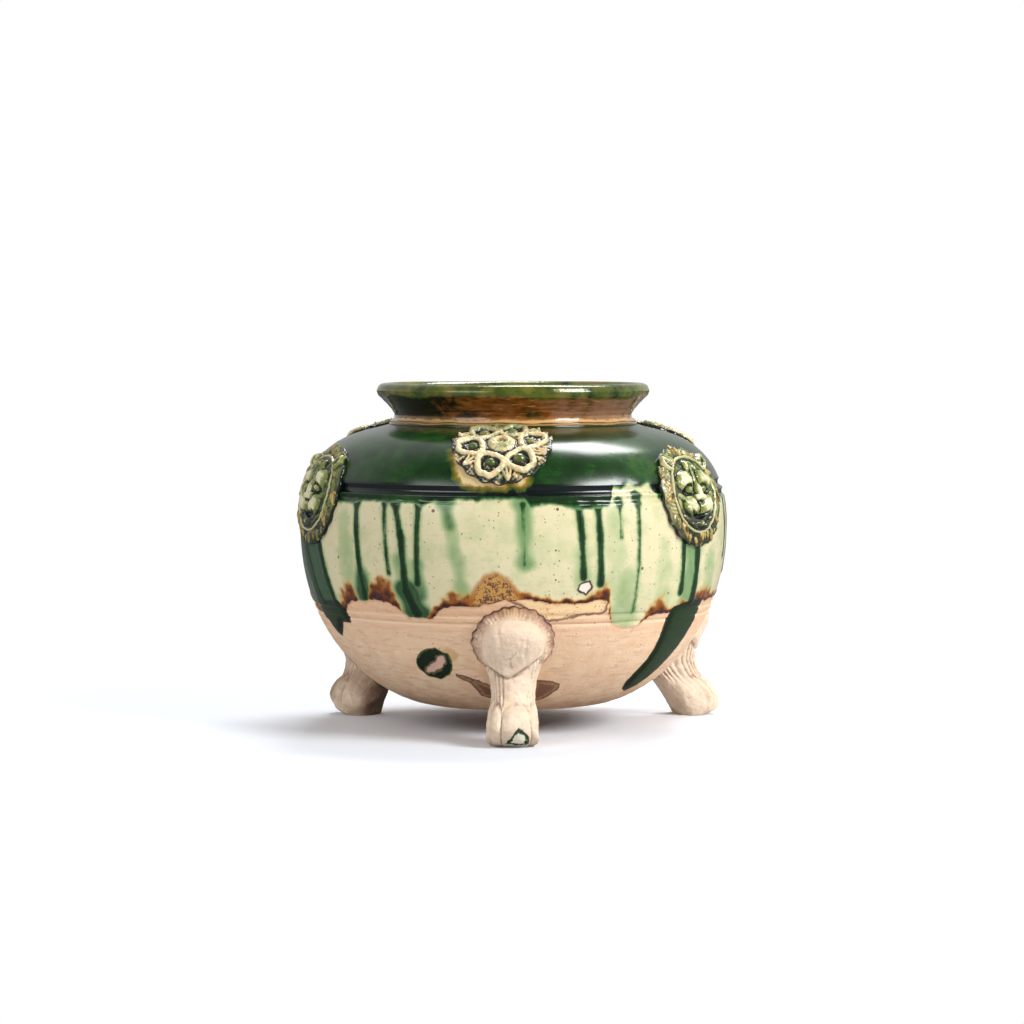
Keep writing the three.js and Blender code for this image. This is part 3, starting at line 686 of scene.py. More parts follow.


# Iron-amber lead glaze, thin and streaky on the neck, with darker olive where copper mixed in. Its right
# side is painted lighter mauve-brown as painted light, and its left side near black as painted shade. The
# lip is thicker olive green.
neck_finish, tree, shader = new_material("amber_and_olive_lead_glaze")
wave = grains(tree, broad=24.0, middle=8.0, small=2.4, fine=0.8, streak=1.0)
amber = mottled(tree, wave["middle"], (0.2, "#43270b"), (0.5, "#7e4816"), (0.8, "#b0743a"))
lip_green = mottled(tree, wave["middle"], (0.3, "#22340f"), (0.5, "#515c1c"), (0.75, "#7d7030"))
lip_green = layered(tree, wave, lip_green, [
    ("streak", "small", 0.4, 0.02, 0.25, 0.6, "#1d2c0d"),
    ("broad", "small", 0.6, 0.1, 0.25, 0.6, "#7a5a1c"),
])
neck_colour = layered(tree, wave, amber, [
    ("broad", "middle", 0.9, 0.0, 0.2, 0.7, "#9a6238"),
    ("streak", "small", 0.4, 0.0, 0.25, 0.75, "#3c210a"),
    ("streak", "middle", 0.6, -0.04, -0.22, 0.8, "#c8924f"),
    # Painted light: the right side of the neck turns mauve-brown, lighter than the amber.
    ("painted_light_right_shade_left", "middle", 0.9, 0.2, 0.75, 0.75, "#94725a"),
    ("broad", "middle", 1.2, -0.04, -0.24, 0.9, "#23280c"),
    # Painted shade: the left side of the neck turns near black.
    ("painted_light_right_shade_left", "middle", 0.9, -0.18, -0.58, 0.97, "#15180a"),
    ("height", "middle", 2.2, FOOT + 5.2, FOOT + 3.6, 0.6, "#8f6430"),
    ("height", "small", 2.0, FOOT + 3.8, FOOT + 2.8, 0.9, "#d9af72"),
    ("height", "streak", 1.0, FOOT + 2.3, FOOT + 1.9, 0.9, "#2a2a12"),
    ("height", "small", 0.6, FOOT + 1.8, FOOT + 1.5, 0.8, "#c79a5c"),
    ("height", "small", 0.4, FOOT + 1.15, FOOT + 0.9, 0.95, "#16270f"),
    ("height", "broad", 9.0, 149.8, 151.4, 1.0, lip_green),
])
ripple = add(tree, "ShaderNodeBump", {"Height": wave["small"], "Distance": 0.2 * MM, "Strength": 0.5})
connect(tree, shader, {"Base Color": neck_colour, "Roughness": 0.13, "IOR": LEAD_GLASS_IOR,
                       "Normal": ripple})

waist_z = FOOT + WAIST_RISE
lip_turn = np.radians(np.linspace(-50, 200, 36))
lip_arc = np.column_stack([RIM_RADIUS - LIP_ROLL + LIP_ROLL * np.cos(lip_turn),
                           RIM_TOP - LIP_ROLL + LIP_ROLL * np.sin(lip_turn)])
profile = np.vstack([
    [(THROAT_RADIUS + 0.9, FOOT)],
    curve3((SEAT_RADIUS - 0.3, FOOT), (SEAT_RADIUS - 0.1, FOOT + 0.9), (SEAT_RADIUS - 0.9, FOOT + 1.1), 6),
    curve3((SEAT_RADIUS - 0.9, FOOT + 1.2), (SEAT_RADIUS - 0.5, FOOT + 1.8),
           (SEAT_RADIUS - 1.3, FOOT + 2.1), 6),
    curve3((SEAT_RADIUS - 1.6, FOOT + 2.2), (WAIST_RADIUS, FOOT + 2.6), (WAIST_RADIUS, waist_z), 12)[1:],
    curve3((WAIST_RADIUS, waist_z), (WAIST_RADIUS + 1, waist_z + 2.5), lip_arc[0], 20)[1:-1],
    lip_arc,
    curve3(lip_arc[-1], (THROAT_RADIUS, waist_z + 3), (THROAT_RADIUS, waist_z), 16)[1:],
    curve3((THROAT_RADIUS, waist_z), (THROAT_RADIUS, FOOT + 2), (THROAT_RADIUS + 0.9, FOOT), 8)[1:],
])
neck, neck_row, azimuth, places = thrown("neck_and_rolled_lip", profile, NECK_TURNS, neck_finish)
sway = mottle(places * [1, 1, 0], 40.0, 5.0) * smooth(FOOT + 6, RIM_TOP, places[:, 2])
# How far right each point lies, read for the painted light and shade of the neck.
keep_fields(neck, {"height": places[:, 2] + 0.4 * mottle(places * [1, 1, 0], 12.0, 2.0),
                   "painted_light_right_shade_left": places[:, 0] / RIM_RADIUS})
places[:, 2] += 0.3 * sway
places[:, :2] *= 1 + 0.0012 * np.sin(places[:, 2:3] * 2.6) * smooth(FOOT + 3, FOOT + 6, places[:, 2:3])
neck.data.vertices.foreach_set("co", (places * MM).ravel())
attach(neck, "root")
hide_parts("neck_rim")

# Luting pads. Soft clay pressed on the wall round the head of each leg with the thumb, which
# left a lobed edge and fine strokes. The slip at its edge fired to a mauve-brown crust.

# Azimuth of each leg, and how many mm its sole stands further out than a plumb leg's
LEG_PLACES = {"front": (0.0, 1.8), "right": (114.0, 9.0), "left": (-117.0, -3.0)}
PAD_ALONG = 57.8
PAD_HALF_WIDTH = 18.4
PAD_HALF_HEIGHT = 16.4
PAD_LOBES = 9
RELIEF_TURNS = 360


def closed_shell(name, points, rings, spokes, material):
    """A piece of rings of points in mm, closed by two last points in its first and last ring."""
    k = np.arange(spokes)
    following = (k + 1) % spokes
    faces = []
    for low in range(0, (rings - 1) * spokes, spokes):
        high = low + spokes
        faces += np.stack([low + k, high + k, high + following, low + following], axis=1).tolist()
    high = (rings - 1) * spokes
    pole = np.full(spokes, rings * spokes)
    faces += np.stack([pole, k, following], axis=1).tolist()
    faces += np.stack([pole + 1, high + following, high + k], axis=1).tolist()
    mesh = bpy.data.meshes.new(name)
    mesh.from_pydata((points * MM).tolist(), [], faces)
    return finished(new_object(name, mesh), material)


def relief_on_wall(name, centre, azimuth, edge, height, rings, material, worn, more_fields=None):
    """A relief wrapped on the wall round a centre; edge and height are functions in mm, and worn is
    how many mm its surface is uneven."""
    spokes = RELIEF_TURNS
    turn, share = np.meshgrid(np.arange(spokes) * 2 * math.pi / spokes, np.linspace(0, 1, rings + 1)[1:])
    x, y = share * edge(turn) * np.sin(turn), share * edge(turn) * np.cos(turn)
    x = np.concatenate([x.ravel(), x[-1], [0.0, 0.0]])
    y = np.concatenate([y.ravel(), y[-1], [0.0, 0.0]])
    below = np.zeros(len(x), bool)
    below[rings * spokes:(rings + 1) * spokes] = True
    below[-1] = True
    rise = height(x, y)
    spots = np.column_stack([x, y, np.full(len(x), azimuth)])
    rise = np.maximum(rise + worn * (mottle(spots, 3.4) + 0.4 * mottle(spots, 1.4)), 0.05)
    radius, z = off_wall(centre + y, np.where(below, -0.8, rise))
    points = on_circle(radius, z, azimuth + np.degrees(x / wall_point(centre + y)[0]))
    piece = closed_shell(name, points, rings + 1, spokes, material)
    fields = {"rise": np.where(below, 0.0, rise), "x": x, "y": y}
    for key, function in (more_fields or {}).items():
        fields[key] = np.where(below, 0.0, function(x, y))
    keep_fields(piece, fields)
    return piece


def pad_edge(turn):
    oval = 1 / np.hypot(np.sin(turn) / PAD_HALF_WIDTH, np.cos(turn) / PAD_HALF_HEIGHT)
    lobes = 0.5 + 0.5 * np.abs(np.cos(0.5 * PAD_LOBES * turn + 0.6))
    return oval - 0.8 + 1.0 * lobes + 0.3 * np.sin(23 * turn + 1.0) + 0.5 * np.sin(2 * turn + 0.7)


def pad_share(x, y):
    return np.hypot(x, y) / pad_edge(np.arctan2(x, y))


def pad_height(x, y):
    turn, away = np.arctan2(x, y), pad_share(x, y)
    swelling = 2.3 * (1 - 0.3 * away ** 2) * np.sqrt(np.clip(1 - away ** 10, 0, 1))
    strokes = 0.16 * np.sin(58 * turn + 2.5 * np.sin(7 * turn)) * smooth(0.72, 0.85, away)
    dents = 0.3 * np.sin(PAD_LOBES * turn + 1.2 + 2 * away) * smooth(0.55, 0.8, away)
    knee = np.hypot(x / 13.6, (y + 2.5) / 11.5)
    collar = 3.2 * np.exp(-np.clip(knee - 1, 0, None) * 5)
    return swelling + (strokes + dents) * smooth(1.0, 0.95, away) + collar + 0.1


# Buff slip, matt like the clay, with an iron and manganese crust where it thinned out: cream
# inside, then pinkish brown, then a broken dark purple-brown line at the very edge.
pad_finish, tree, shader = new_material("buff_slip_with_fired_crust")
wave = grains(tree, broad=9.0, middle=4.0, small=1.6, fine=0.6)
clay = mottled(tree, wave["broad"], (0.25, "#d0a98f"), (0.5, "#e0c2a6"), (0.75, "#ecd5bb"))
pad_colour = layered(tree, wave, clay, [
    ("share", "middle", 0.2, 0.85, 0.6, 0.8, "#ecd5bb"),
    ("share", "small", 0.6, 0.76, 0.96, 0.7, "#b48a70"),
    ("share", "fine", 0.6, 0.84, 1.04, 0.6, "#7b5142"),
    ("y", "middle", 10, 9, 17, 0.55, "#b98c50"),
    ("share", "small", 0.3, 0.92, 1.0, 0.6, "#8a6250"),
    ("share", "middle", 0.12, 0.955, 0.985, 0.9, "#4a2c26"),
    ("small", "middle", 0.8, 0.22, 0.36, 0.4, "#9a7468"),
    (specks(tree, 2.2, 0.45, 0.4, 0.2), "fine", 0.2, 0.3, 0.8, 0.6, "#7c5443"),
])
pitting = add(tree, "ShaderNodeMath", {0: wave["small"], 1: 1.5, 2: wave["fine"]}, operation="MULTIPLY_ADD")
pits = add(tree, "ShaderNodeBump", {"Height": pitting, "Distance": 0.35 * MM, "Strength": 0.9})
connect(tree, shader, {"Base Color": pad_colour, "Roughness": 0.7, "Normal": pits})

for side, (azimuth, _) in LEG_PLACES.items():
    pad = relief_on_wall(f"{side}_luting_pad", PAD_ALONG, azimuth, pad_edge, pad_height, 60, pad_finish,
                         0.15, {"share": pad_share})
    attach(pad, "root")
    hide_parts(f"{side}_leg_pad")

# Legs. Three lion paws pressed in one mould: a domed knee, flaps of hair under it, a hollowed
# shank with fluted sides, and a paw with four toes and claws. Bare buff clay.

SOLE_RADIUS = 81.0
KNEE_Z = 50.0
LEG_TURNS = 240
LEG_ROWS = 200
# Height, reach in front of and behind the middle, half width
LEG_SECTIONS = np.array([
    (0, 6.2, -5.8, 9.4), (1.8, 9.8, -6.4, 10.4), (4.5, 13.4, -7.6, 11), (8.5, 15.6, -9.8, 11.1),
    (14, 13.4, -12.8, 10.5), (20.5, 8.4, -17, 9.7), (27, 7.3, -21, 10.2), (33, 8.4, -17.5, 11.7),
    (38.5, 11.4, -12.5, 12.9), (43.5, 14.6, -8, 13.3), (48.5, 16.2, -3.5, 12.6), (53, 16, 1, 10.2),
    (57, 14, 5.5, 6.4),
], float)
# How widely each leg is darkened brown: slip stain, and on the left leg, on the shaded side, painted shade
# too
LEG_STAIN_AND_SHADE = {"front": 0.0, "right": -0.25, "left": 0.62}
# Glaze round a chip on the front toes, and the bare chip: mm to the right of the middle and up
TOE_CHIP = [(-3.4, 2.2), (-0.6, 5.6), (2.2, 9.4), (4.1, 8.4), (6.6, 6.2), (7.0, 3.2), (5.9, 1.2),
            (0.3, 1.4)]
TOE_CHIP_CORE = [(-1.0, 2.6), (0.8, 5.6), (2.2, 7.4), (4.6, 6.2), (5.6, 3.9), (4.6, 2.2)]


def through(stations, values, where):
    """Smooth curve through values at stations."""
    slope = np.gradient(values, stations)
    i = np.clip(np.searchsorted(stations, where) - 1, 0, len(stations) - 2)
    span = stations[i + 1] - stations[i]
    t = (where - stations[i]) / span
    return ((2 * t ** 3 - 3 * t ** 2 + 1) * values[i] + (t ** 3 - 2 * t ** 2 + t) * span * slope[i]
            + (-2 * t ** 3 + 3 * t ** 2) * values[i + 1] + (t ** 3 - t ** 2) * span * slope[i + 1])


def squared(value):
    return np.sign(value) * np.abs(value) ** 0.8


def leg_relief(turn, z, across):
    """Height in mm of the modelled details, turn in degrees from the front of the leg."""
    facing = np.cos(np.radians(turn))
    ahead = smooth(0.0, 0.35, facing)
    # Four toes with claws, under an arch of knuckles
    toe = np.interp(turn, (-90, -62, -24, 42, 78, 100), (0, 1, 2, 3, 4, 5)) % 1
    pad_of_toe = np.sqrt(np.clip(1 - (2 * toe - 1) ** 2, 0, 1))
    arch = 12.5 + 5.0 * pad_of_toe
    toe_zone = smooth(arch + 1, arch - 2, z) * smooth(-1.5, 1.0, z) * smooth(84, 70, np.abs(turn))
    relief = toe_zone * (2.3 * pad_of_toe ** 0.7 - 1.4)
    relief += toe_zone * 1.0 * np.exp(-((toe - 0.5) / 0.16) ** 2) * np.exp(-((z - 3.0) / 2.2) ** 2)
    relief -= 0.6 * ahead * np.exp(-((z - arch - 1.2) / 1.1) ** 2)
    # Flutes of hair swept back along the shank
    swept = turn * 0.27 + 1.2 * np.sign(turn) * smooth(20, 38, z) + 0.3 * np.sin(z / 5)
    ridge = np.abs(np.sin(swept)) ** 0.6
    strands = np.where(turn < 0, smooth(10, 24, -turn), 0.6 * smooth(28, 46, turn))
    relief -= 1.1 * strands * smooth(15, 21, z) * smooth(42, 34, z) * (1 - ridge)
    # Flap of hair that hangs from the knee in a point, and furrows over it
    hem = z - 30.8 - 0.72 * (np.hypot(across + 2.5, 2.0) - 2.0)
    flap = smooth(-0.8, 0.6, hem) * ahead
    relief += 1.0 * flap - 0.8 * ahead * np.exp(-((hem + 1.2) / 0.9) ** 2)
    furrow = np.exp(-((np.abs(across) - 5.0 - 0.12 * (z - 42)) / 0.9) ** 2)
    return relief - 0.45 * furrow * smooth(37, 41, z) * smooth(54, 49, z) * ahead


def keep_in_wall(across, outward, height):
    """Draws what lies deep inside the bowl back to just under its outer wall."""
    radius = np.hypot(across, outward)
    sample = np.linspace(0, OUTLINE_LENGTH, 700)
    wr, wz = wall_point(sample)
    nr, nz = wall_normal(sample)
    nearest = np.argmin((radius.reshape(-1, 1) - wr) ** 2 + (height.reshape(-1, 1) - wz) ** 2, axis=1)
    nearest = nearest.reshape(radius.shape)
    deep = (wr[nearest] - radius) * nr[nearest] + (wz[nearest] - height) * nz[nearest] > 1.5
    new_radius = np.where(deep, wr[nearest] - 1.5 * nr[nearest], radius)
    new_height = np.where(deep, wz[nearest] - 1.5 * nz[nearest], height)
    return across * new_radius / radius, outward * new_radius / radius, new_height


def make_leg(side, azimuth, lean, material):
    levels = np.linspace(0, LEG_SECTIONS[-1, 0] + 1.2, LEG_ROWS)
    front, back, half = (through(LEG_SECTIONS[:, 0], LEG_SECTIONS[:, k], levels)[:, None] for k in (1, 2, 3))
    rounding = np.sqrt(1 - (np.clip(levels - 50.0, 0, 8.2) / 8.5) ** 2)[:, None]
    half, front = np.maximum(half * rounding, 1.5), back + (front - back) * rounding
    turn, z = np.meshgrid(wrapped(np.arange(LEG_TURNS) * 360.0 / LEG_TURNS), levels)
    c, s = squared(np.cos(np.radians(turn))), squared(np.sin(np.radians(turn)))
    depth = np.maximum((front - back) / 2, 1.5)
    across = half * s
    relief = leg_relief(turn, z, across)
    rough = np.stack([across, depth * c, z + azimuth], axis=-1)
    relief += 0.35 * mottle(rough, 6.0) + 0.25 * mottle(rough, 2.4) + 0.1 * mottle(rough, 1.2)
    nx, ny = s / half, c / depth
    length = np.hypot(nx, ny)
    across = across + relief * nx / length
    outward = SOLE_RADIUS + lean * (1 - z / KNEE_Z) + (front + back) / 2 + depth * c + relief * ny / length
    x, out, height = keep_in_wall(across, outward, z)
    angle = math.radians(azimuth)
    points = np.stack([x * math.cos(angle) + out * math.sin(angle),
                       x * math.sin(angle) - out * math.cos(angle), height], axis=-1).reshape(-1, 3)
    points = np.vstack([points, points[:LEG_TURNS].mean(axis=0), points[-LEG_TURNS:].mean(axis=0)])
    leg = closed_shell(f"{side}_lion_paw_leg", points, LEG_ROWS, LEG_TURNS, material)
    # Each field on the rings, then at the middle of the sole and of the top
    # The back of the left leg is darkened further: painted shade as well as stain.
    back_stain_and_shade = smooth(105, 175, np.abs(turn)) * (side == "left")
    fields = {"relief_for_painted_shade": (relief, 0, 0), "stain_and_shade": (LEG_STAIN_AND_SHADE[side] + back_stain_and_shade, 0, 0),
              "knee": (smooth(36, 44, z), 0, 1)}
    hidden = (np.abs(turn) > 90) | (side != "front")
    for key, corners in (("chip", TOE_CHIP), ("chip_core", TOE_CHIP_CORE)):
        chipped = depth_inside(across, z, np.array(corners))
        fields[key] = (np.where(hidden, FAR_OUT, chipped), FAR_OUT, FAR_OUT)
    keep_fields(leg, {key: np.append(rings, ends) for key, (rings, *ends) in fields.items()})
    return leg


# Unglazed buff earthenware from a press mould: matt, chalky cream, with painted mauve-brown shade in the
# creases and hollows, brown slip stains that on the left leg are deepened by painted shade, fine cracks and
# dark pits; a splash of glaze round a chip on the front toes.
leg_finish, tree, shader = new_material("bare_buff_earthenware")
wave = grains(tree, broad=14.0, middle=5.0, small=1.8, fine=0.6)
where = add(tree, "ShaderNodeTexCoord").outputs["Object"]
warp = add(tree, "ShaderNodeTexNoise", {"Vector": where, "Scale": 300.0}).outputs["Color"]
bent = add(tree, "ShaderNodeVectorMath", {0: warp, 1: (0.004,) * 3, 2: where}, operation="MULTIPLY_ADD")
net = add(tree, "ShaderNodeTexVoronoi", {"Vector": bent, "Scale": 110.0}, feature="DISTANCE_TO_EDGE")
whole_part = add(tree, "ShaderNodeMath", {0: wave["broad"], 1: -0.1}, operation="MAXIMUM")
cracks = add(tree, "ShaderNodeMath", {0: whole_part, 1: 1.5, 2: net}, operation="MULTIPLY_ADD")
clay = mottled(tree, wave["middle"], (0.2, "#dfc4a9"), (0.5, "#ecd5bb"), (0.8, "#f5e5cf"))
leg_colour = layered(tree, wave, clay, [
    # Brown over the legs: slip stain, with painted shade on the left leg.
    ("stain_and_shade", "broad", 1.5, 0.35, 0.9, 0.75, "#8f6d56"),
    ("stain_and_shade", "middle", 2.5, 0.85, 1.75, 0.75, "#553a2d"),
    # Painted shade: mauve-brown in the creases and hollows of the modelling.
    ("relief_for_painted_shade", "small", 1.4, -0.1, -1.1, 0.75, "#8f6c5d"),
    (cracks, "fine", 0.06, -0.11, -0.145, 0.45, "#93705f"),
    ("middle", "small", 1.0, 0.05, 0.5, 0.4, "#cfa98f"),
    ("small", "fine", 1.0, 0.2, 0.45, 0.4, "#94776a"),
    ("broad", "small", 0.8, 0.12, 0.4, 0.35, "#dab57c"),
    ("knee", "middle", 1.2, 0.75, 1.2, 0.25, "#d8a98a"),
    (specks(tree, 2.0, 0.42, 0.4, 0.4), "fine", 0.2, 0.3, 0.8, 0.6, "#76533f"),
    ("chip", "small", 2.2, -0.2, 0.2, 1.0, "#24401f"),
    ("chip_core", "small", 2.6, -0.4, 0.3, 1.0, "#ece8d2"),
])
pitting = add(tree, "ShaderNodeMath", {0: wave["small"], 1: 1.2, 2: wave["fine"]}, operation="MULTIPLY_ADD")
pits = add(tree, "ShaderNodeBump", {"Height": pitting, "Distance": 0.3 * MM, "Strength": 0.8})
connect(tree, shader, {"Base Color": leg_colour, "Roughness": 0.68, "Normal": pits})

for side, (azimuth, lean) in LEG_PLACES.items():
    leg = make_leg(side, azimuth, lean, leg_finish)
    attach(leg, "root")
    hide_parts(f"{side}_leg")

# Flower medallions. Pressed in a mould and luted high on the shoulder: a dimpled boss, six
# cupped petals with beads in them, and pointed leaves. Cream glaze with green in the hollows.

ROSETTE_RADIUS = 22.3
ROSETTE_ALONG = 149.5
ROSETTE_PLACES = {"front": -3.5, "right_rear": 117.0, "left_rear": -123.0}
# Height of a medallion's ground over the wall
GROUND = 1.3
PETALS = 6
PETAL_TURN = 20.0
PETAL_RING = 12.9


def dome(x, y, cx, cy, rx, ry=None, lean=0.0):
    c, s = math.cos(math.radians(lean)), math.sin(math.radians(lean))
    u, v = (x - cx) * c - (y - cy) * s, (x - cx) * s + (y - cy) * c
    return np.clip(1 - (u / rx) ** 2 - (v / (ry or rx)) ** 2, 0, 1) ** 0.6


def bank(value, middle, half):
    return np.clip(1 - ((value - middle) / half) ** 2, 0, 1)


def join(a, b, soft=0.7):
    near = np.clip(soft - np.abs(a - b), 0, None) / soft
    return np.maximum(a, b) + near ** 2 * soft / 4


def flower(x, y):
    r, turn = np.hypot(x, y), np.arctan2(x, y)
    leaf = 0.5 * (1 + np.cos(18 * turn))
    rise = GROUND - 0.5 * smooth(18, 22.3, r) + (1.0 * leaf + 0.1 * np.cos(90 * turn)) * smooth(15.5, 18, r)
    for petal in range(PETALS):
        # A petal with a raised rim round its cup
        a = math.radians(PETAL_TURN + 60 * petal)
        u = x * math.sin(a) + y * math.cos(a) - PETAL_RING
        v = x * math.cos(a) - y * math.sin(a)
        b, d = np.arctan2(v, u), np.hypot(u, v)
        edge = 5.6 + 0.5 * np.cos(b) + 0.55 * np.cos(3 * b) - 0.8 * np.exp(-(b / 0.22) ** 2)
        within = smooth(edge, edge - 1.0, d)
        rise = rise * (1 - within) + (GROUND - 0.4 + 0.12 * d) * within
        rise = join(rise, GROUND + (2.0 + 0.5 * np.cos(b)) * bank(d, edge, 1.6) ** 0.5)
        # A pointed leaf between two petals
        a += math.radians(30)
        u = x * math.sin(a) + y * math.cos(a) - 16.8
        v = np.abs(x * math.cos(a) - y * math.sin(a))
        half = 3.1 * np.sqrt(np.clip((4.2 - u) / 8.0, 0, 1)) * smooth(-4.5, -2.5, u)
        blade = smooth(half, half - 0.8, v)
        edges = 0.9 * bank(v, half - 0.5, 0.8) * (half > 0.6) + 0.6 * bank(v, 0, 0.6) * blade
        rise = join(rise, GROUND + 0.9 * blade + edges, 0.4)
    # The dimpled boss
    rise = join(rise, GROUND + 3.0 * dome(x, y, 0, 0, 6.4), 0.6)
    return rise - 1.6 * smooth(3.2, 0.8, r) + 0.12 * np.sin(3 * x) * np.sin(2.6 * y)


def rosette_edge(turn):
    return ROSETTE_RADIUS - 0.9 * (1 - np.cos(18 * turn)) / 2


def sunk(height, reach=1.3):
    """How far in mm a relief lies under its surroundings, as a function of its place."""
    def depth(x, y):
        ring = [height(x + reach * math.cos(a), y + reach * math.sin(a)) for a in np.arange(0, 6.2, 0.785)]
        return np.mean(ring, axis=0) - height(x, y)
    return depth


def relief_glaze(name, clear, coats, seed):
    """A glossy lead glaze that is pale on high places and pools dark in the hollows."""
    material, tree, shader = new_material(name)
    wave = grains(tree, broad=16.0 + seed, middle=6.0, small=1.9, fine=0.7)
    speckles = (specks(tree, 2.6, 0.6, 0.35, 0.6), "fine", 0.2, 0.3, 0.8, 0.5, "#5a4426")
    colour = layered(tree, wave, mottled(tree, wave["middle"], *clear), [*coats, speckles])
    ripple = add(tree, "ShaderNodeBump", {"Height": wave["small"], "Distance": 0.25 * MM, "Strength": 0.7})
    connect(tree, shader, {"Base Color": colour, "Roughness": 0.16, "IOR": LEAD_GLASS_IOR,
                           "Normal": ripple})
    return material


# Lead glaze over a pressed relief: cream and tan where it ran thin on the high edges, bottle
# green on the slopes and blue-black in the cups.
flower_finish = relief_glaze(
    "cream_and_green_lead_glaze", ((0.25, "#d2ad76"), (0.5, "#e8d2a4"), (0.8, "#dcd2a0")), [
        ("broad", "middle", 0.8, 0.02, 0.25, 0.7, "#6f8448"),
        ("y", "middle", 14, 5, 16, 0.6, "#5f7a48"),
        ("middle", "small", 0.6, 0.14, 0.3, 0.7, "#8a5c2a"),
        ("sunk", "small", 0.5, -0.05, 0.3, 0.75, "#6c6a30"),
        ("sunk", "small", 0.5, 0.25, 0.6, 0.9, "#1c2a1a"),
        ("rise", "small", 0.9, 2.3, 1.8, 0.97, "#131b1c"),
    ], 0.0)


# Beads in the petals' cups, and later the tufts of the manes: a ball drawn out to a length and
# narrowed to a point, set on the relief
strewing, given = new_tree("forms_set_on_the_relief", {
    "Places": "Geometry", "Length": "Float", "Height": "Float", "Point": "Float", "Seed": "Int",
    "Material": "Material"})
ball = add(strewing, "GeometryNodeMeshIcoSphere", {"Radius": 1.0, "Subdivisions": 3})
at = add(strewing, "ShaderNodeSeparateXYZ", {0: add(strewing, "GeometryNodeInputPosition")}).outputs
narrowing = add(strewing, "ShaderNodeMath", {0: at[1], 1: given["Point"]}, operation="MULTIPLY")
width = add(strewing, "ShaderNodeMath", {0: 1.0, 1: narrowing}, operation="SUBTRACT")
across = add(strewing, "ShaderNodeMath", {0: at[0], 1: width}, operation="MULTIPLY")
lengthwise = add(strewing, "ShaderNodeMath", {0: at[1], 1: given["Length"]}, operation="MULTIPLY")
upright = add(strewing, "ShaderNodeMath", {0: at[2], 1: given["Height"]}, operation="MULTIPLY")
shape = add(strewing, "ShaderNodeCombineXYZ", {0: across, 1: lengthwise, 2: upright})
form = add(strewing, "GeometryNodeSetPosition", {"Geometry": ball, "Position": shape})
grown = add(strewing, "FunctionNodeRandomValue", {"Min": 0.88, "Max": 1.12, "Seed": given["Seed"]},
            data_type="FLOAT")
size = add(strewing, "GeometryNodeInputNamedAttribute", {"Name": "size"}, data_type="FLOAT")
facing = add(strewing, "GeometryNodeInputNamedAttribute", {"Name": "facing"}, data_type="FLOAT_VECTOR")
scale = add(strewing, "ShaderNodeMath", {0: size, 1: grown}, operation="MULTIPLY")
strewn = add(strewing, "GeometryNodeInstanceOnPoints", {
    "Points": given["Places"], "Instance": form, "Rotation": facing, "Scale": scale})
close_tree(strewing, strewn, given["Material"])


def set_on_wall(name, spots, centre, azimuths, material, **inputs):
    """Small forms on the wall at (x, y, size, turn, rise) round each medallion's centre."""
    points, facings, sizes = [], [], []
    for azimuth in azimuths:
        for x, y, size, turn, rise in spots:
            angle = math.radians(azimuth) + x / wall_point(centre + y)[0]
            points.append(on_circle(*off_wall(centre + y, rise), math.degrees(angle)))
            nr, nz = wall_normal(centre + y)
            normal = Vector((nr * math.sin(angle), -nr * math.cos(angle), nz))
            right = Vector((math.cos(angle), math.sin(angle), 0.0))
            up = normal.cross(right)
            upward = (up * math.cos(turn) + right * math.sin(turn)).normalized()
            matrix = Matrix((upward.cross(normal), upward, normal)).transposed()
            facings.append(matrix.to_euler()[:])
            sizes.append(size * MM)
    fields = {"facing": np.array(facings), "size": np.array(sizes)}
    return made_by(strewing, name, points, material, fields, **inputs)


bead_finish = relief_glaze(
    "green_lead_glaze_on_beads", ((0.2, "#2c4427"), (0.5, "#56682c"), (0.8, "#b59d62")),
    [("broad", "middle", 0.8, 0.0, 0.3, 0.7, "#1c2c22"),
     ("small", "fine", 0.6, 0.12, 0.3, 0.8, "#cfc394")], 1.0)
for side, azimuth in ROSETTE_PLACES.items():
    rosette = relief_on_wall(f"{side}_flower_medallion", ROSETTE_ALONG, azimuth, rosette_edge, flower, 110,
                             flower_finish, 0.5, {"sunk": sunk(flower)})
    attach(rosette, "root")
    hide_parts(f"{side}_rosette")
# A low ball of clay in each petal's cup, drowned to its top in green glaze
spots = []
for petal in range(PETALS):
    turn, out = math.radians(PETAL_TURN + 60 * petal), PETAL_RING - 0.5
    size = 2.2 + 0.35 * math.sin(4 * petal)
    spots.append((out * math.sin(turn), out * math.cos(turn), size, 0.0, GROUND + 0.2))
beads = set_on_wall("beads_in_the_petals", spots, ROSETTE_ALONG, ROSETTE_PLACES.values(), bead_finish,
                    Length=0.85, Height=0.75, Point=0.1, Seed=3)
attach(beads, "root")

# Lion's-mask roundels. Pressed in a second mould and luted over the grooves: a lion's face in a
# thin ring, ears, and a mane of pointed tufts round it. Olive glaze with cream high places.

ROUNDEL_RADIUS = 23.4
ROUNDEL_ALONG = 121.5
ROUNDEL_PLACES = {"right": 56.5, "left": -67.0, "rear": 172.0}
FACE_RADIUS = 16.8
TUFTS = 34
# Pairs of forms of the face: place, half width and height, rise over the ground and lean in degrees
FACE_FORMS = {
    "brow": (7.4, 5.6, 6.4, 4.6, 3.3, -16),
    "curl over the brow": (3.0, 11.6, 1.9, 3.6, 2.4, 24),
    "muzzle": (6.4, -5.2, 6.0, 4.6, 3.4, 20),
    "wing of the nose": (2.1, -2.0, 2.5, 1.9, 3.7, 0),
    "cheek": (11.6, -1.6, 3.0, 1.5, 1.9, 35),
    "whisker": (9.8, -11.0, 3.2, 1.5, 1.8, 40),
    "beard": (5.2, -13.6, 2.8, 1.3, 1.8, 20),
}


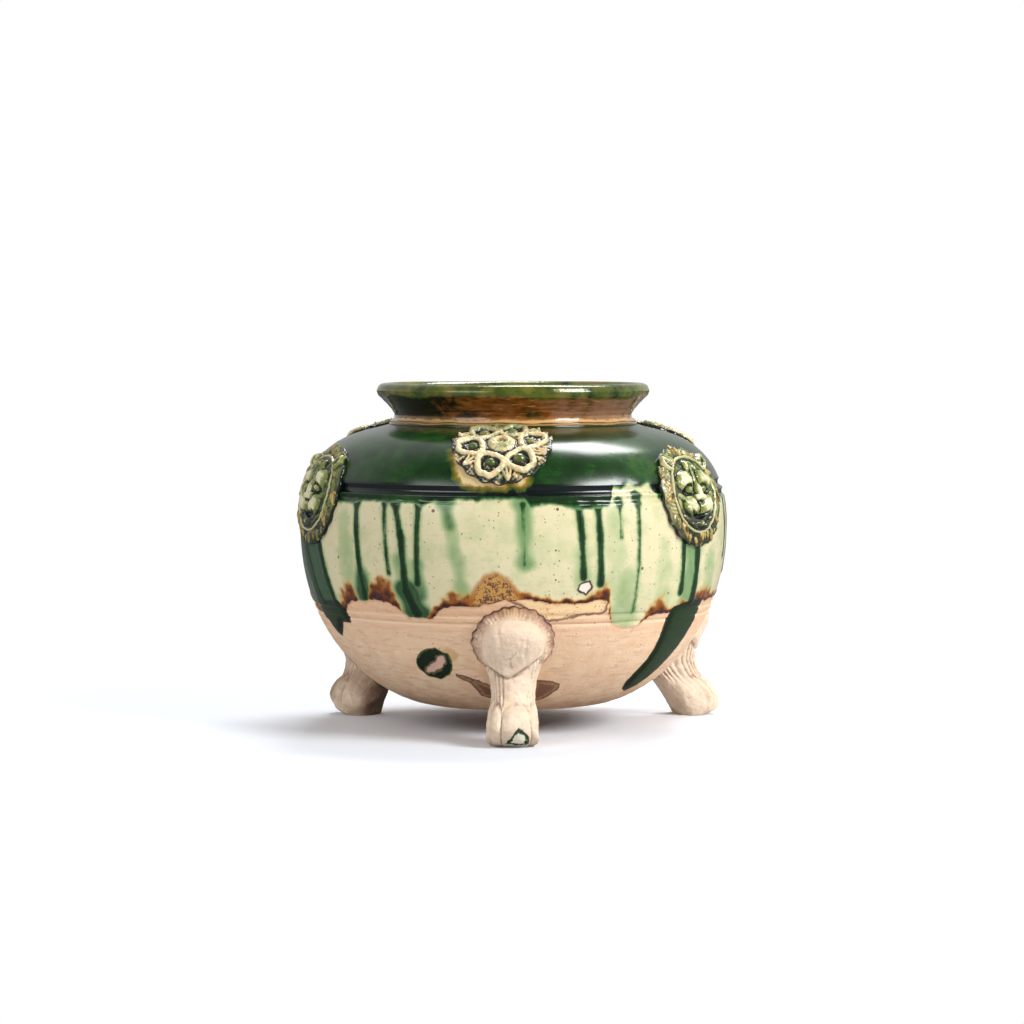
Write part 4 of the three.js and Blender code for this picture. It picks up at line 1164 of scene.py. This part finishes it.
def mask(x, y):
    r, turn, side = np.hypot(x, y), np.arctan2(x, y), np.tanh(x / 3)
    swirl = turn + side * 0.035 * (r - 17)
    strand = 0.5 * (1 + np.cos(64 * swirl))
    rise = GROUND - 0.5 * smooth(20, 23.4, r)
    rise = rise + (0.7 + 0.3 * strand) * smooth(16.5, 18.5, r) * smooth(24.4, 21.5, r)
    # Ears
    for s in (-1, 1):
        rise = join(rise, GROUND + 3.0 * dome(x, y, s * 14.6, 13.6, 5.4, 3.6, -s * 45), 0.6)
        rise = rise - 1.6 * dome(x, y, s * 14.2, 13.1, 3.2, 1.6, -s * 45)
    # The face in its ring
    face = smooth(17.0, 15.5, r)
    rise = rise * (1 - face) + face * (GROUND - 0.2 + 1.0 * np.clip(1 - (r / 16) ** 2, 0, 1))
    rise = join(rise, GROUND + 1.5 * bank(r, FACE_RADIUS, 0.9), 0.4)
    for cx, cy, rx, ry, high, lean in FACE_FORMS.values():
        for s in (-1, 1):
            rise = join(rise, GROUND + high * dome(x, y, s * cx, cy, rx, ry, s * -lean), 0.9)
    # Chin and bridge of the nose
    rise = join(rise, GROUND + 2.3 * dome(x, y, 0, -13.0, 3.6, 1.9), 0.8)
    width = 1.5 + 1.3 * smooth(8, -2, y)
    bridge = np.sqrt(np.clip(1 - (x / width) ** 2, 0, 1)) * smooth(15, 11, y) * smooth(-3.8, -2.2, y)
    rise = join(rise, GROUND + (2.0 + 1.7 * smooth(7, -2, y)) * bridge, 0.8)
    # Eyes in their hollows
    for s in (-1, 1):
        rise = rise - 2.0 * dome(x, y, s * 6.6, 1.6, 4.2, 2.7, s * 12)
        rise = join(rise, GROUND + 2.5 * dome(x, y, s * 6.0, 1.7, 2.5, 1.9), 0.4)
    # The mouth, and the cleft over it
    rise = rise - 1.7 * bank(y + 10.3 - 0.05 * x * x, 0, 1.2) * smooth(8.0, 6.0, np.abs(x))
    rise = rise - 1.0 * bank(x, 0, 0.9) * smooth(-3.0, -4.5, y) * smooth(-10.5, -9.0, y)
    return np.maximum(rise, 0.5)


def on_face_ring(x, y):
    return bank(np.hypot(x, y), FACE_RADIUS, 0.8)


def roundel_edge(turn):
    return ROUNDEL_RADIUS - 0.8 * (1 - np.cos(18 * turn)) / 2


roundel_finish = relief_glaze(
    "olive_and_cream_lead_glaze", ((0.2, "#5d6a2c"), (0.5, "#7c8440"), (0.8, "#a5a766")), [
        ("broad", "middle", 0.8, 0.0, 0.25, 0.75, "#3f5522"),
        ("middle", "small", 0.5, 0.14, 0.3, 0.6, "#96702f"),
        ("x", "small", 16.0, -9.0, -17.0, 0.7, "#d3c793"),
        ("sunk", "small", 0.4, -0.08, 0.2, 0.8, "#33481f"),
        ("sunk", "small", 0.4, 0.12, 0.45, 0.95, "#142010"),
        ("rise", "small", 0.8, 2.4, 1.6, 0.95, "#10191a"),
        ("y", "middle", 7.0, -6.5, -12.0, 0.8, "#12191c"),
        ("rise", "small", 1.6, 3.3, 4.4, 0.85, "#e6e0b6"),
        ("ring", "small", 0.6, 0.35, 0.8, 0.85, "#cdc690"),
    ], 2.0)
tuft_finish = relief_glaze(
    "cream_and_amber_lead_glaze_on_the_mane", ((0.2, "#8a6a30"), (0.5, "#b5974f"), (0.8, "#cfc796")), [
        ("broad", "middle", 1.2, -0.05, 0.2, 0.8, "#4c6330"),
        ("middle", "small", 0.8, -0.02, -0.25, 0.9, "#1a2616"),
    ], 3.0)
for side, azimuth in ROUNDEL_PLACES.items():
    roundel = relief_on_wall(f"{side}_lion_mask_roundel", ROUNDEL_ALONG, azimuth, roundel_edge, mask, 110,
                             roundel_finish, 0.6, {"sunk": sunk(mask), "ring": on_face_ring})
    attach(roundel, "root")
    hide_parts(f"{side}_roundel")
# Tufts all round but at the ears, drawn out to a point and leaning with the mane
tufts = []
for number in range(TUFTS):
    turn = 2 * math.pi * (number + 0.3 * math.sin(7.3 * number)) / TUFTS
    if abs(wrapped(math.degrees(turn) - 45)) > 8 and abs(wrapped(math.degrees(turn) + 45)) > 8:
        lean = 0.8 * math.tanh(2 * math.sin(turn)) + 0.4 * math.sin(3.1 * number)
        out = 20.0 + 1.3 * math.sin(5 * number)
        size = 1.2 + 0.35 * math.sin(2.3 * number)
        tufts.append((out * math.sin(turn), out * math.cos(turn), size, turn + lean, GROUND + 0.5))
mane = set_on_wall("tufts_of_the_manes", tufts, ROUNDEL_ALONG, ROUNDEL_PLACES.values(), tuft_finish,
                   Length=2.2, Height=0.7, Point=0.5, Seed=7)
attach(mane, "root")

# Studio. A white floor and background with a large soft box at the right, a weaker one at the left
# and one overhead behind, seen from a little above the rim through a long lens.

# Camera in metres from the axis and over the floor; focal length, and where the axis and the horizon
# lie, in pixels of the square picture
CAMERA_DISTANCE = 1.5106
CAMERA_HEIGHT = 0.1808
FOCAL_PIXELS = 3300.0
IMAGE_WIDTH = 1024.0
AXIS_PIXEL = 513.0
HORIZON_PIXEL = 329.0

camera_data = bpy.data.cameras.new("camera")
camera_data.sensor_width = 36.0
camera_data.lens = 36.0 * FOCAL_PIXELS / IMAGE_WIDTH
camera = new_object("camera", camera_data)
pitch = math.atan((IMAGE_WIDTH / 2 - HORIZON_PIXEL) / FOCAL_PIXELS)
yaw = math.atan((AXIS_PIXEL - IMAGE_WIDTH / 2) / FOCAL_PIXELS)
camera.location = (0.0, -CAMERA_DISTANCE, CAMERA_HEIGHT)
camera.rotation_euler = (math.pi / 2 - pitch, 0.0, yaw)
bpy.context.scene.camera = camera

# White paper, lit where the vessel throws its shadow and shining white to the eye further off
floor_mesh = bpy.data.meshes.new("floor")
floor_mesh.from_pydata([(-20, -20, 0), (20, -20, 0), (20, 20, 0), (-20, 20, 0)], [], [(0, 1, 2, 3)])
floor = new_object("floor", floor_mesh)
floor_finish, tree, shader = new_material("white_paper")
away = add(tree, "ShaderNodeVectorMath", {0: add(tree, "ShaderNodeTexCoord").outputs["Object"]},
           operation="LENGTH").outputs["Value"]
far = add(tree, "ShaderNodeMapRange", {"Value": away, "From Min": 0.11, "From Max": 0.42, "To Min": 0.0},
          interpolation_type="SMOOTHSTEP")
ray = add(tree, "ShaderNodeLightPath").outputs
lit = add(tree, "ShaderNodeMix", {"Factor": ray["Is Glossy Ray"], "A": "#c9cbd0", "B": "#66686a"},
          data_type="RGBA")
paper = add(tree, "ShaderNodeMix", {"Factor": ray["Is Camera Ray"], "A": lit, "B": "#f2f7ff"},
            data_type="RGBA")
connect(tree, shader, {"Base Color": paper, "Roughness": 0.9})
bright = add(tree, "ShaderNodeMath", {0: far, 1: ray["Is Camera Ray"]}, operation="MULTIPLY")
glow = add(tree, "ShaderNodeEmission", {"Color": (1, 1, 1, 1), "Strength": 1.0})
both = add(tree, "ShaderNodeMixShader", {0: bright, 1: shader, 2: glow})
connect(tree, tree.nodes["Material Output"], {"Surface": both})
floor_mesh.materials.append(floor_finish)

# The room: white to the eye and an even grey to soft light, while a glaze mirrors it bright low
# down behind and dark in front and overhead
world = bpy.data.worlds.new("white_studio")
bpy.context.scene.world = world
world.use_nodes = True
tree = world.node_tree
ray = add(tree, "ShaderNodeLightPath").outputs
direction = add(tree, "ShaderNodeTexCoord").outputs["Generated"]
toward = add(tree, "ShaderNodeSeparateXYZ", {0: direction}).outputs
low_rear = add(tree, "ShaderNodeMath", {0: toward[2], 1: -0.7, 2: toward[1]}, operation="MULTIPLY_ADD")
rear = add(tree, "ShaderNodeMapRange", {"Value": low_rear, "From Min": -0.75, "From Max": -0.1,
                                        "To Min": 0.1, "To Max": 0.6}, interpolation_type="SMOOTHSTEP")
mirrored = add(tree, "ShaderNodeMix", {"Factor": ray["Is Glossy Ray"], "A": 0.33, "B": rear})
strength = add(tree, "ShaderNodeMix", {"Factor": ray["Is Camera Ray"], "A": mirrored, "B": 1.0})
connect(tree, tree.nodes["Background"], {"Color": (1, 1, 1, 1), "Strength": strength})


def softbox(name, place, size, watts):
    light = bpy.data.lights.new(name, "AREA")
    light.shape = "RECTANGLE"
    light.size, light.size_y = size
    light.energy = watts
    lamp = new_object(name, light)
    lamp.location = place
    lamp.rotation_euler = (Vector((0, 0, 0.08)) - Vector(place)).to_track_quat("-Z", "Y").to_euler()


softbox("softbox_right", (1.2, -0.8, 0.9), (0.7, 0.7), 27)
softbox("softbox_left", (-0.9, -1.0, 0.8), (0.9, 0.7), 7)
softbox("softbox_top", (0.27, 0.75, 1.45), (0.9, 0.6), 21)

bpy.context.scene.view_settings.view_transform = "Standard"
